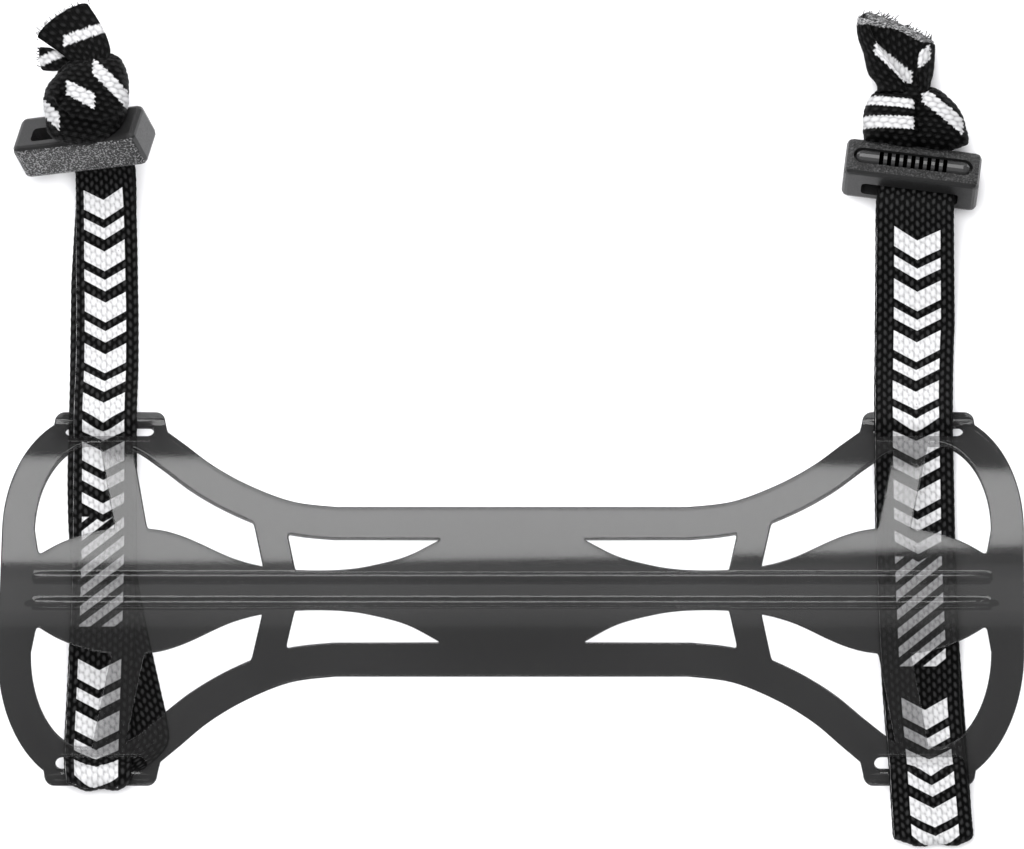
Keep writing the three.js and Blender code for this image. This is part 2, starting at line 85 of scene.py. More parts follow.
HALF_LENGTH = PLATE_LENGTH / 2
HALF_SPAN = TAB_SPAN / 2
MIDDLE_RADIUS = ARCH_RADIUS - PLATE_WALL / 2
BAR_RADIUS = BAR_DIAMETER / 2
BAR_Y = HALF_SPAN - BAR_RADIUS
SLOT_Y = HALF_SPAN - BAR_DIAMETER - SLOT_WIDTH / 2
LOWER_RUN_Z = STRAP_THICKNESS / 2
UPPER_RUN_Z = LOWER_RUN_Z + STRAP_THICKNESS + LAYER_GAP
BAR_Z = STRAP_THICKNESS + GAP + BAR_RADIUS
ARCH_CENTRE_Z = BAR_Z - math.sqrt(MIDDLE_RADIUS ** 2 - BAR_Y ** 2)

# Every table below is in the plate's own millimetres, from its middle at floor level
plate_low, plate_high = (np.array(corner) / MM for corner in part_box("guard_plate"))
PLATE_MIDDLE = (plate_low + plate_high) / 2
ORIGIN = Vector((PLATE_MIDDLE[0], PLATE_MIDDLE[1], 0))


def in_metres(points):
    """Points in the plate's own millimetres, as metres in the frame."""
    return (np.asarray(points, float) + np.array(ORIGIN)) * MM


# Camera, floor and light
PIXEL = 0.2 * MM
VIEW_WIDTH = 1024 * PIXEL
CAMERA_ELEVATION = math.radians(82.4)
CAMERA_DISTANCE = 4.0
CAMERA_TARGET_MM = (0, 35.1, 2.8)


def add_camera():
    data = bpy.data.cameras.new("camera")
    data.sensor_width = 36
    data.lens = data.sensor_width * CAMERA_DISTANCE / VIEW_WIDTH
    camera = bpy.data.objects.new("camera", data)
    target = Vector(in_metres(CAMERA_TARGET_MM))
    away = Vector((0, -math.cos(CAMERA_ELEVATION), math.sin(CAMERA_ELEVATION)))
    camera.location = target + away * CAMERA_DISTANCE
    camera.rotation_euler = away.to_track_quat("Z", "Y").to_euler()
    bpy.context.collection.objects.link(camera)
    bpy.context.scene.camera = camera


def area_light(name, place, aim, size, power, shape="RECTANGLE", mirrored=True):
    data = bpy.data.lights.new(name, "AREA")
    data.shape = shape
    data.size, data.size_y = size
    data.energy = power
    light = bpy.data.objects.new(name, data)
    light.location = place
    light.visible_glossy = mirrored
    light.rotation_euler = (Vector(place) - Vector(aim)).to_track_quat("Z", "Y").to_euler()
    bpy.context.collection.objects.link(light)


class Shader:
    """A node material, built by small calls that each return an output socket."""

    def __init__(self, name):
        self.material = bpy.data.materials.new(name)
        self.material.use_nodes = True
        self.tree = self.material.node_tree
        self.surface = self.tree.nodes["Principled BSDF"]

    def add(self, kind, **settings):
        node = self.tree.nodes.new(kind)
        for key, value in settings.items():
            setattr(node, key, value)
        return node

    def feed(self, socket, value):
        if isinstance(value, bpy.types.NodeSocket):
            self.tree.links.new(value, socket)
        else:
            socket.default_value = value

    def math(self, operation, first, second=0.0, third=0.0):
        node = self.add("ShaderNodeMath", operation=operation)
        for socket, value in zip(node.inputs, (first, second, third)):
            self.feed(socket, value)
        return node.outputs[0]

    def mix(self, share, low, high):
        node = self.add("ShaderNodeMix", data_type="RGBA")
        self.feed(node.inputs[0], share)
        self.feed(node.inputs[6], low)
        self.feed(node.inputs[7], high)
        return node.outputs[2]

    def between(self, value, low, high, soft):
        """1 where low < value < high, with edges that are soft wide."""
        rise = self.ramp(value, low - soft, low + soft)
        fall = self.ramp(value, high + soft, high - soft)
        return self.math("MULTIPLY", rise, fall)

    def ramp(self, value, low, high, to_low=0.0, to_high=1.0):
        node = self.add("ShaderNodeMapRange")
        for socket, number in zip(node.inputs, (value, low, high, to_low, to_high)):
            self.feed(socket, number)
        return node.outputs[0]

    def noise(self, scale, detail=2.0, vector=None):
        node = self.add("ShaderNodeTexNoise")
        self.feed(node.inputs["Scale"], scale)
        self.feed(node.inputs["Detail"], detail)
        if vector is None:
            vector = self.add("ShaderNodeTexCoord").outputs["Object"]
        self.feed(node.inputs["Vector"], vector)
        return node.outputs[0]

    def bump(self, height, distance, strength=1.0):
        node = self.add("ShaderNodeBump")
        self.feed(node.inputs["Height"], height)
        self.feed(node.inputs["Distance"], distance)
        self.feed(node.inputs["Strength"], strength)
        self.tree.links.new(node.outputs[0], self.surface.inputs["Normal"])

    def set(self, name, value):
        self.feed(self.surface.inputs[name], value)


def grey(level, alpha=1.0):
    return (level, level, level * 1.02, alpha)


FLOOR_WHITE = 0.93
# Grey of the floor's painted shade, where it is seen through the smoked plastic
FLOOR_SHADE_UNDER_PLASTIC = 0.045
FLOOR_REACH = 3.0


def add_floor():
    """A pale floor, with a painted shade wherever it is seen through the smoked plastic."""
    mesh = bpy.data.meshes.new("floor")
    signs = ((-1, -1), (1, -1), (1, 1), (-1, 1))
    corners = [(x * FLOOR_REACH, y * FLOOR_REACH, 0) for x, y in signs]
    mesh.from_pydata(corners, [], [(0, 1, 2, 3)])
    floor = bpy.data.objects.new("floor", mesh)
    shader = Shader("floor")
    # Painted shade: the floor turns dark wherever the ray has passed through the transparent
    # plastic
    layers = shader.add("ShaderNodeLightPath").outputs["Transparent Depth"]
    shaded_below = shader.math("GREATER_THAN", layers, 0.5)
    shader.set("Base Color", shader.mix(shaded_below, grey(FLOOR_WHITE), grey(FLOOR_SHADE_UNDER_PLASTIC)))
    shader.set("Roughness", 0.9)
    shader.set("Specular IOR Level", 0.0)
    mesh.materials.append(shader.material)
    bpy.context.collection.objects.link(floor)


WORLD_STRENGTH = 0.17


def add_world():
    world = bpy.data.worlds.new("studio")
    world.use_nodes = True
    background = world.node_tree.nodes["Background"]
    background.inputs["Color"].default_value = (1, 1, 1, 1)
    background.inputs["Strength"].default_value = WORLD_STRENGTH
    bpy.context.scene.world = world
    bpy.context.scene.view_settings.view_transform = "Standard"


# The overhead light's panels, by depth and power: they share a middle, so its edges fade
OVERHEAD_PANELS = ((0.3, 0.55), (0.42, 0.55), (0.56, 0.6))


def add_lights():
    area_light("softbox", (-0.1, 0.44, 0.5), (-0.04, 0, 0), (0.62, 0.62), 3.5, "ELLIPSE")
    for depth, power in OVERHEAD_PANELS:
        area_light("overhead", (0, 0.07, 1.2), (0, 0, 0), (1.2, depth), power)
    area_light("fill", (-0.1, -0.1, 1.4), (0, 0, 0), (1.6, 1.6), 34, mirrored=False)


# Materials
def smoked_plastic():
    shader = Shader("smoked_plastic")
    shader.set("Base Color", grey(0.01))
    shader.set("Roughness", 0.11)
    shader.set("Alpha", 0.3)
    shader.set("IOR", 1.9)
    shader.set("Specular IOR Level", 0.75)
    return shader.material


PRINT_PERIOD = 96
BADGE_START = 0.5
BADGE_LENGTH = 22.6
# How far past the last chevron's slope the slanted bars begin
BADGE_CLEAR = 1.6
MARKS_START = 31.4
CHEVRON_PITCH = 10.4
CHEVRON_SLOPE = 0.55
CHEVRON_BANDS = ((0.0, 0.38), (0.55, 0.77))
HATCH_PITCH = 3.77
HATCH_SLOPE = 0.8
HATCH_SHARE = 0.55
PRINT_SOFT = 0.05


def print_mask(shader, across, along, half):
    """White where the print is: rows of chevrons, then a stretch of slanted bars."""
    size = shader.math("ABSOLUTE", across)
    band = shader.ramp(size, half + PRINT_SOFT, half - PRINT_SOFT)
    lean = shader.math("MULTIPLY_ADD", size, CHEVRON_SLOPE, along)
    place = shader.math("FLOORED_MODULO", lean, PRINT_PERIOD)
    unit = shader.math("MODULO", shader.math("SUBTRACT", place, MARKS_START), CHEVRON_PITCH)
    marks = 0.0
    for low, high in CHEVRON_BANDS:
        bar = shader.between(unit, low * CHEVRON_PITCH, high * CHEVRON_PITCH, PRINT_SOFT)
        marks = shader.math("MAXIMUM", marks, bar)
    in_marks = shader.math("GREATER_THAN", place, MARKS_START)
    slant = shader.math("MULTIPLY_ADD", across, HATCH_SLOPE, along)
    hatch = shader.math("FLOORED_MODULO", slant, HATCH_PITCH)
    hatch = shader.between(hatch, PRINT_SOFT, HATCH_PITCH * HATCH_SHARE, PRINT_SOFT)
    flat_place = shader.math("FLOORED_MODULO", along, PRINT_PERIOD)
    in_badge = shader.between(flat_place, BADGE_START, BADGE_LENGTH, PRINT_SOFT)
    clear = shader.between(place, BADGE_CLEAR, PRINT_PERIOD / 2, PRINT_SOFT)
    in_badge = shader.math("MULTIPLY", in_badge, clear)
    pattern = shader.math("MULTIPLY", in_marks, marks)
    pattern = shader.math("MAXIMUM", pattern, shader.math("MULTIPLY", in_badge, hatch))
    return shader.math("MULTIPLY", band, pattern)


# The lock bar's notches
NOTCH_PITCH = 1.6
NOTCH_WIDTH = 0.8
TEETH_REACH = 7.2


def toothed_plastic(name, centre, axes):
    """The same plastic, worn smooth on the bar's teeth, with a painted highlight on the teeth and
    painted shade in the notches between them.
    """
    shader = Shader(name)
    place = off_centre(shader, axes[:, 0], centre)
    reach = shader.math("LESS_THAN", shader.math("ABSOLUTE", place), TEETH_REACH)
    share = shader.math("FLOORED_MODULO", shader.math("ADD", place, NOTCH_PITCH / 2), NOTCH_PITCH)
    middle = shader.math("ABSOLUTE", shader.math("SUBTRACT", share, NOTCH_PITCH / 2))
    notch_shade = shader.ramp(middle, NOTCH_WIDTH / 2 + 0.08, NOTCH_WIDTH / 2)
    notch_shade = shader.math("MULTIPLY", notch_shade, reach)
    # Painted shade in the notches, a painted highlight on the teeth
    shader.set("Base Color", shader.mix(notch_shade, grey(0.03), grey(0.0)))
    shader.set("Roughness", shader.ramp(notch_shade, 0.0, 1.0, 0.22, 0.9))
    shader.set("Specular IOR Level", shader.ramp(notch_shade, 0.0, 1.0, 0.6, 0.0))
    return shader.material


THREAD_PITCH = 0.32


def webbing(name, print_half):
    """Black ribbed elastic with a white print, both with a painted highlight on the stitches'
    crests; the weave map holds millimetres across and along, and the crests' height.
    """
    shader = Shader(name)
    weave = shader.add("ShaderNodeAttribute", attribute_name="weave").outputs["Vector"]
    split = shader.add("ShaderNodeSeparateXYZ")
    shader.feed(split.inputs[0], weave)
    across, along, crest = split.outputs
    paint = shader.add("ShaderNodeAttribute", attribute_name="paint").outputs["Fac"]
    mask = shader.math("MAXIMUM", print_mask(shader, across, along, print_half), paint)
    fleck = shader.noise(2.2, 3.0, weave)
    # Painted highlight: the black turns lighter grey on the stitches' crests
    lit = shader.ramp(crest, 0.55, 1.0)
    black = shader.mix(lit, grey(0.001), grey(0.026))
    # Painted highlight and shade on the print: whiter on the stitches' crests, greyer between them
    white = shader.mix(shader.ramp(crest, 0.0, 0.8), grey(0.3), grey(0.58))
    worn = shader.math("MULTIPLY", mask, shader.ramp(fleck, 0.22, 0.28))
    shader.set("Base Color", shader.mix(worn, black, white))
    shader.set("Roughness", shader.ramp(fleck, 0.3, 0.7, 0.62, 0.85))
    shader.set("Specular IOR Level", 0.12)
    turns = 2 * math.pi / THREAD_PITCH
    threads = shader.math("SINE", shader.math("MULTIPLY", along, turns))
    ribs = shader.math("SINE", shader.math("MULTIPLY", across, turns))
    shader.bump(shader.math("MULTIPLY_ADD", threads, 0.5, ribs), 0.00003, 0.5)
    return shader.material


def dot_product(shader, first, second):
    node = shader.add("ShaderNodeVectorMath", operation="DOT_PRODUCT")
    shader.feed(node.inputs[0], first)
    shader.feed(node.inputs[1], second)
    return node.outputs["Value"]


def off_centre(shader, axis, centre):
    """How far a point is from a place along an axis, in millimetres."""
    position = shader.add("ShaderNodeTexCoord").outputs["Object"]
    start = float(np.dot(in_metres(centre), axis))
    metres = shader.math("SUBTRACT", dot_product(shader, position, tuple(axis)), start)
    return shader.math("MULTIPLY", metres, 1 / MM)


def black_plastic(name, centre, axes, speckle):
    """Moulded black plastic, with a coarse grain on the two wide faces and smooth sides."""
    shader = Shader(name)
    normal = shader.add("ShaderNodeNewGeometry").outputs["Normal"]
    facing = shader.math("ABSOLUTE", dot_product(shader, normal, tuple(axes[:, 2])))
    outer = shader.math("ABSOLUTE", off_centre(shader, axes[:, 2], centre))
    grained = shader.ramp(facing, 0.75, 0.9)
    grained = shader.math("MULTIPLY", grained, shader.ramp(outer, 3.6, 4.2))
    grain = shader.noise(2600, 3.0)
    specks = shader.math("MULTIPLY", shader.ramp(grain, 0.5, 0.62), grained)
    plain = shader.mix(grained, grey(0.012), grey(0.006))
    shader.set("Base Color", shader.mix(specks, plain, grey(speckle)))
    shader.set("Roughness", shader.ramp(grain, 0.3, 0.7, 0.34, 0.5))
    shader.bump(shader.math("MULTIPLY", grain, grained), 0.0003, 1.0)
    return shader.material


# Splines
def catmull_rom(points, at):
    """The centripetal curve through points, at a share from 0 to 1 of their spans."""
    spans = len(points) - 1
    place = min(at * spans, spans - 1e-9)
    index = int(place)
    share = place - index
    p1, p2 = points[index], points[index + 1]
    p0 = points[index - 1] if index > 0 else p1 * 2 - p2
    p3 = points[index + 2] if index + 2 <= spans else p2 * 2 - p1
    pairs = ((p0, p1), (p1, p2), (p2, p3))
    d0, d1, d2 = (max(np.linalg.norm(b - a), 1e-8) ** 0.5 for a, b in pairs)
    if d1 < 1e-4:
        d1 = 1.0
    d0 = d1 if d0 < 1e-4 else d0
    d2 = d1 if d2 < 1e-4 else d2
    t1 = ((p1 - p0) / d0 - (p2 - p0) / (d0 + d1) + (p2 - p1) / d1) * d1
    t2 = ((p2 - p1) / d1 - (p3 - p1) / (d1 + d2) + (p3 - p2) / d2) * d1
    c2 = -3 * p1 + 3 * p2 - 2 * t1 - t2
    c3 = 2 * p1 - 2 * p2 + t1 + t2
    return p1 + t1 * share + c2 * share ** 2 + c3 * share ** 3


def uniform_spline(points, steps):
    """A uniform spline through flat points, as steps pieces between each two."""
    points = [np.array(point, float) for point in points]
    last = len(points) - 1
    result = []
    for index in range(last):
        p0, p1, p2, p3 = (points[min(max(index + k, 0), last)] for k in (-1, 0, 1, 2))
        for step in range(steps):
            t = step / steps
            v0, v1 = (p2 - p0) / 2, (p3 - p1) / 2
            result.append(
                (2 * p1 - 2 * p2 + v0 + v1) * t ** 3 + (-3 * p1 + 3 * p2 - 2 * v0 - v1) * t ** 2
                + v0 * t + p1
            )
    result.append(points[last])
    return result


# Outline of the plate, one quarter at a time. along is a share of the half length,
# rise a share of the way from waist to tab, half a share of half the lobe's width.
RIM_ROWS = (
    (0.343, 0), (0.43, 0.055), (0.515, 0.22), (0.588, 0.43), (0.651, 0.68), (0.709, 0.89),
    (0.765, 0.985),
)
SPINE_ROWS = (
    (0.13, 0.86), (0.16, 0.725), (0.193, 0.585), (0.225, 0.49), (0.265, 0.41), (0.304, 0.35),
    (0.353, 0.318), (0.42, 0.322), (0.49, 0.385), (0.541, 0.495), (0.578, 0.62), (0.613, 0.755),
    (0.649, 0.875), (0.69, 0.965), (0.745, 1), (0.8, 0.97), (0.848, 0.87), (0.892, 0.725),
    (0.938, 0.5),
)
STRUT_LINE = ((0.783, 0.83), (0.742, 0.27))
CROSSBAR_LINE = ((0.478, 0.4), (0.453, 0.09))
FINE = 6


def rim_quarter():
    waist = WAIST_WIDTH / 2
    corner_x = HALF_LENGTH - CORNER_REACH
    rows = [(along * HALF_LENGTH, waist + rise * (HALF_SPAN - waist)) for along, rise in RIM_ROWS]
    points = uniform_spline(rows + [(corner_x, HALF_SPAN)], FINE)
    for step in range(1, 4 * FINE + 1):
        angle = math.pi / 2 * (1 - step / (4 * FINE))
        x = corner_x + CORNER_REACH * math.cos(angle)
        points.append(np.array((x, HALF_SPAN - CORNER_RISE + CORNER_RISE * math.sin(angle))))
    return points


def offset_inward(points, distance):
    result = []
    for index, point in enumerate(points):
        along = points[min(index + 1, len(points) - 1)] - points[max(index - 1, 0)]
        along = along / np.linalg.norm(along)
        result.append(point + np.array((along[1], -along[0])) * distance)
    return result


def spine_quarter():
    rows = [(along * HALF_LENGTH, half * LOBE_WIDTH / 2) for along, half in SPINE_ROWS]
    return uniform_spline(rows, FINE // 2)


def clipped(polygon, line, shift, keep):
    """The part of a polygon on one side of a slanted bar's edge."""
    low, high = (np.array((a * HALF_LENGTH, o * HALF_SPAN)) for a, o in (line[1], line[0]))
    along = (high - low) / np.linalg.norm(high - low)
    normal = np.array((along[1], -along[0]))
    distances = [keep * (np.dot(p - low, normal) - shift) for p in polygon]
    result = []
    for index, point in enumerate(polygon):
        before = polygon[index - 1]
        d0, d1 = distances[index - 1], distances[index]
        if (d0 >= 0) != (d1 >= 0):
            result.append(before + (point - before) * d0 / (d0 - d1))
        if d1 >= 0:
            result.append(point)
    return result


def rounded(polygon, radius, limit=28):
    """Cuts each sharp corner of a polygon back and joins it by a small curve."""
    result = []
    count = len(polygon)
    for index, point in enumerate(polygon):
        before, after = polygon[index - 1] - point, polygon[(index + 1) % count] - point
        before_length, after_length = np.linalg.norm(before), np.linalg.norm(after)
        if min(before_length, after_length) < 1e-6:
            continue
        cosine = np.dot(before, after) / before_length / after_length
        turn = 180 - math.degrees(math.acos(max(-1, min(1, cosine))))
        if turn < limit:
            result.append(point)
            continue
        start = point + before / before_length * min(radius, before_length * 0.45)
        end = point + after / after_length * min(radius, after_length * 0.45)
        for step in range(5):
            t = step / 4
            result.append(start * (1 - t) ** 2 + point * 2 * t * (1 - t) + end * t ** 2)
    return result


WINDOW_ROUND = 1.1


def window_loops():
    """The three windows of one quarter."""
    inner = offset_inward(rim_quarter(), BAND_WIDTH)
    spine = spine_quarter()
    end_x = HALF_LENGTH - BAND_WIDTH
    tip_y = WAIST_WIDTH / 2 - BAND_WIDTH
    tip_x = np.interp(-tip_y, [-p[1] for p in spine[:20]], [p[0] for p in spine[:20]])
    spine = [np.array((tip_x, tip_y))] + [p for p in spine if tip_x + 0.3 < p[0] < end_x]
    top = [p for p in inner if p[1] > spine[-1][1] + 0.5]
    region = top + spine[::-1]
    half_bar, half_strut = CROSSBAR_WIDTH / 2, STRUT_WIDTH / 2
    loops = (
        clipped(region, CROSSBAR_LINE, -half_bar, -1),
        clipped(clipped(region, CROSSBAR_LINE, half_bar, 1), STRUT_LINE, -half_strut, -1),
        clipped(region, STRUT_LINE, half_strut, 1),
    )
    return [rounded(loop, WINDOW_ROUND) for loop in loops]


def tabbed_rim():
    """The quarter's outer edge with the tab's step."""
    rim = rim_quarter()
    start, end = TAB_CENTRE - TAB_WIDTH / 2, TAB_CENTRE + TAB_WIDTH / 2
    before = [p for p in rim if p[0] < start]
    after = [p for p in rim if p[0] > end and p[1] < HALF_SPAN - BAR_DIAMETER / 2]
    tab = []
    for centre_x, sweep in ((start + TAB_CORNER, (180, 90)), (end - TAB_CORNER, (90, 0))):
        for step in range(7):
            angle = math.radians(sweep[0] + (sweep[1] - sweep[0]) * step / 6)
            x = centre_x + TAB_CORNER * math.cos(angle)
            tab.append(np.array((x, HALF_SPAN - TAB_CORNER + TAB_CORNER * math.sin(angle))))
    return before + tab + after


def slot_loop():
    radius = SLOT_WIDTH / 2
    points = []
    for centre, start in ((SLOT_LENGTH / 2 - radius, -90), (-SLOT_LENGTH / 2 + radius, 90)):
        for step in range(9):
            angle = math.radians(start + 180 * step / 8)
            x = TAB_CENTRE + centre + radius * math.cos(angle)
            points.append(np.array((x, SLOT_Y + radius * math.sin(angle))))
    return points


def plate_outline():
    """All closed loops of the plate: the rim first, then windows and slots."""
    quarter = tabbed_rim()
    right = quarter + [p * (1, -1) for p in quarter[::-1]]
    rim = right + [p * (-1, 1) for p in right[::-1]]
    loops = [rim]
    for loop in window_loops() + [slot_loop()]:
        for side_x in (1, -1):
            for side_y in (1, -1):
                loops.append([p * (side_x, side_y) for p in loop])
    return loops


def bead_rise(x, y):
    """How far the two beads lift the crown's skin at a place."""
    reach = np.clip((BEAD_LENGTH / 2 - np.abs(x)) / BEAD_TAPER, 0, 1)
    lift = BEAD_HEIGHT * np.sqrt(reach)
    off = (np.abs(y) - BEAD_SPACING / 2) / (BEAD_WIDTH / 2)
    return lift * np.sqrt(np.clip(1 - off ** 2, 0, 1))


def taken_as_mesh(holder):
    """The mesh of a curve's object. The object itself is removed."""
    bpy.context.collection.objects.link(holder)
    mesh = bpy.data.meshes.new_from_object(
        holder.evaluated_get(bpy.context.evaluated_depsgraph_get())
    )
    bpy.data.objects.remove(holder)
    mesh.materials.clear()
    return mesh


def add_plate():
    curve = bpy.data.curves.new("plate_flat", "CURVE")
    curve.dimensions = "2D"
    curve.fill_mode = "BOTH"
    curve.extrude = PLATE_WALL / 2 - EDGE_ROUND
    curve.bevel_depth = EDGE_ROUND
    curve.bevel_resolution = 2
    curve.offset = -EDGE_ROUND
    for loop in plate_outline():
        spline = curve.splines.new("POLY")
        spline.points.add(len(loop) - 1)
        for point, place in zip(spline.points, loop):
            point.co = (place[0], place[1], 0, 1)
        spline.use_cyclic_u = True
    flat = bpy.data.objects.new("plate_flat", curve)
    mesh = taken_as_mesh(flat)
    bm = bmesh.new()
    bm.from_mesh(mesh)
    bmesh.ops.remove_doubles(bm, verts=bm.verts, dist=0.002)
    slice_mesh(bm, 1, arch_cuts())
    slice_mesh(bm, 0, bead_end_cuts())
    bm.to_mesh(mesh)
    bm.free()
    mesh.shade_smooth()
    arch(mesh)
    mesh.materials.append(smoked_plastic())
    plate = bpy.data.objects.new("smoked_plate", mesh)
    bpy.context.collection.objects.link(plate)
    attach(plate, "root")
    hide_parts("guard_plate")


def arch_cuts():
    """Where the flat plate is cut across so that it can bend and carry its beads."""
    cuts = list(np.arange(-HALF_SPAN + 1, HALF_SPAN, 1.0))
    for side in (-1, 1):
        middle = side * BEAD_SPACING / 2
        cuts += [middle + BEAD_WIDTH / 2 * math.cos(math.pi * k / 8) for k in range(9)]
    return sorted(cuts)


def bead_end_cuts():
    places = [BEAD_LENGTH / 2 - BEAD_TAPER * (k / 8) ** 2 for k in range(9)]
    return sorted(places + [-place for place in places])


def slice_mesh(bm, axis, cuts):
    normal = Vector((0, 0, 0))
    normal[axis] = 1
    for cut in cuts:
        geometry = bm.verts[:] + bm.edges[:] + bm.faces[:]
        bmesh.ops.bisect_plane(bm, geom=geometry, plane_co=normal * cut, plane_no=normal, dist=1e-5)


def arch(mesh):
    """Bends the flat plate over the forearm, thickens its tabs into bars and lifts its beads."""
    co = np.empty(len(mesh.vertices) * 3)
    mesh.vertices.foreach_get("co", co)
    co = co.reshape(-1, 3)
    x, y, h = co.T.copy()
    top = h > 0
    tab = np.clip((np.abs(y) - (SLOT_Y + SLOT_WIDTH / 2)) / 0.4, 0, 1)
    swell = 1 + tab * (BAR_DIAMETER / PLATE_WALL - 1)
    flat = np.abs(h) > PLATE_WALL / 2 - 0.002
    h = h * swell
    h = h + np.where(top, bead_rise(x, y), 0)
    lean = np.clip(y / MIDDLE_RADIUS, -0.95, 0.95)
    rise = np.sqrt(1 - lean ** 2)
    co[:, 0] = x + SHEAR * y * np.clip(-x / HALF_LENGTH, 0, 1)
    co[:, 1] = y + h * lean
    co[:, 2] = ARCH_CENTRE_Z + MIDDLE_RADIUS * rise + h * rise
    mesh.vertices.foreach_set("co", in_metres(co).ravel())
    mesh.update()
    normals = np.empty(len(mesh.vertices) * 3)
    mesh.vertices.foreach_get("normal", normals)
    normals = normals.reshape(-1, 3)
    step = 0.06
    slope_x = (bead_rise(x + step, y) - bead_rise(x - step, y)) / (2 * step)
    slope_y = (bead_rise(x, y + step) - bead_rise(x, y - step)) / (2 * step)
    skin = np.stack((-slope_x, lean - slope_y * rise, rise + slope_y * lean), axis=1)
    skin /= np.linalg.norm(skin, axis=1, keepdims=True)
    under = np.stack((0 * x, -lean, -rise), axis=1)
    even = flat & (tab == 0)
    normals = np.where((even & top)[:, None], skin, normals)
    normals = np.where((even & ~top)[:, None], under, normals)
    mesh.normals_split_custom_set_from_vertices(normals.tolist())


# How each strap lock is turned in degrees, how far off centre the webbing passes through it,
# which way its slot is set back, and how pale the specks of its grain are
LOCKS = {
    "left": {"yaw": 32, "pitch": 46, "roll": -38, "shift": 1.9, "slot": 1, "speckle": 0.24},
    "right": {"yaw": -7, "pitch": -26, "roll": 0, "shift": 1.4, "slot": -1, "speckle": 0.04},
}

# The webbing's runs above and below, as rows of y, the x of its middle, and its width
LEFT_FRONT = (
    (-41, -82.5, 12.6), (-36, -82.6, 13.4), (-31, -82.7, 13.7), (-12, -82, 13.2),
    (5, -81.5, 13.1), (38, -81.4, 12.9), (52, -80.95, 12.8), (65, -81.2, 12.6), (75, -81.8, 12.7),
    (86, -82.3, 12.8),
)
LEFT_BACK = (
    (-39, -82.4, 12.8), (-36.5, -81.6, 12.8), (-33, -78.2, 12.8), (-29.5, -75, 12.8),
    (-24, -75.2, 12.8), (-17, -76.8, 12.8), (-8, -78.8, 12.8), (2, -80.8, 12.8),
    (12, -82.2, 12.8), (24, -82.6, 12.8), (40, -82.2, 12.8), (75, -81.8, 12.8),
    (86, -82.3, 12.8),
)
RIGHT_FRONT = (
    (-50, 84.1, 16.1), (-46.8, 83.9, 16.2), (-32.7, 82.8, 15.6), (-20.6, 81.8, 15.5),
    (-10.5, 81.4, 16.1), (8, 80.7, 16), (25, 80.4, 16), (40, 80.2, 15.7), (52, 80.5, 15.9),
    (68, 81, 17), (80, 82, 16.5), (90, 82, 16.2),
)
RIGHT_BACK = (
    (-50, 84.4, 15.8), (-46.8, 84.2, 15.8), (-20, 82.3, 15.8), (0, 80.9, 15.8), (40, 80.3, 15.8),
    (68, 81, 15.9), (90, 82, 15.8),
)

# Angles in degrees at which the webbing meets and leaves a bar
WRAP_FROM = 75
WRAP_TO = 150
WRAP_STEPS = 4
TIGHT_FROM = 50
TIGHT_TO = -80
TIGHT_DRIFT = 0.2
SLACK_STEPS = 5
# How far from the lock's mouth the webbing runs straight, and where it lies level
LOCK_MOUTH = 1
LOCK_BEYOND = 1.2
LOCK_LEAD = 1.5
FLAT_LEAD = 3
LEVEL_END = 8
BACK_SHARES = (-0.9, -0.78, -0.66, -0.5, -0.3, 0, 0.3, 0.6, 0.95, 1.25)
ROUTE_SAMPLES = 24
RISEN_REACH = BAR_DIAMETER * 2.2
UNDER_REACH = BAR_DIAMETER * 1.6
SETTLE_REACH = BAR_DIAMETER * 2.6
FLAT_REACH = BAR_DIAMETER * 4.5


class Key:
    """A place on a route, with the direction across it and the width there."""

    def __init__(self, at, across, width):
        self.at = np.array(at, float)
        self.across = np.array(across, float)
        self.width = width


def lock_frame(side):
    """Centre and axes of a strap lock, read from its body's box in the frame."""
    lock = LOCKS[side]
    turn = [math.radians(lock[name]) for name in ("yaw", "pitch", "roll")]
    matrix = Matrix.Rotation(turn[0], 3, "Z") @ Matrix.Rotation(turn[1], 3, "X")
    axes = np.array(matrix @ Matrix.Rotation(turn[2], 3, "Y"))
    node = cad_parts[side + "_lock_body"]
    world = np.array([node.matrix_world @ vertex.co for vertex in node.data.vertices])
    local = (world / MM - np.array(ORIGIN)) @ axes
    centre = axes @ ((local.min(axis=0) + local.max(axis=0)) / 2)
    return centre, axes


def run_key(rows, y, z):
    places, middles, widths = zip(*rows)
    return Key((np.interp(y, places, middles), y, z), (1, 0, 0), np.interp(y, places, widths))


def lock_keys(side, spec, layer):
    """Keys from beyond the lock, through it, down to the floor. layer is 1 above, -1 below."""
    centre, axes = lock_frame(side)
    lock = LOCKS[side]
    rows = spec["front"] if layer > 0 else spec["back"]
    offset = layer * (STRAP_THICKNESS + LAYER_GAP) / 2
    mouth = LOCK_HEIGHT / 2 + LOCK_MOUTH

    def inside(y):
        depth = lock["slot"] * LOCK_SLOT_SETBACK + offset
        return Key(centre + axes @ np.array((lock["shift"], y, depth)), axes[:, 0], spec["width"])

    keys = [inside(y) for y in (mouth + LOCK_BEYOND, mouth, 0, -mouth, -mouth - LOCK_LEAD)]
    flat_y = keys[-1].at[1] - RAMP_LENGTH
    z = UPPER_RUN_Z if layer > 0 else LOWER_RUN_Z
    return keys + [run_key(rows, flat_y, z), run_key(rows, flat_y - FLAT_LEAD, z)]


def over_bar(rows, end, first, last):
    reach = BAR_RADIUS + GAP + STRAP_THICKNESS / 2
    keys = []
    for step in range(WRAP_STEPS + 1):
        angle = math.radians(first + (last - first) * step / WRAP_STEPS)
        y = end * (BAR_Y + reach * math.cos(angle))
        keys.append(run_key(rows, y, BAR_Z + reach * math.sin(angle)))
    return keys


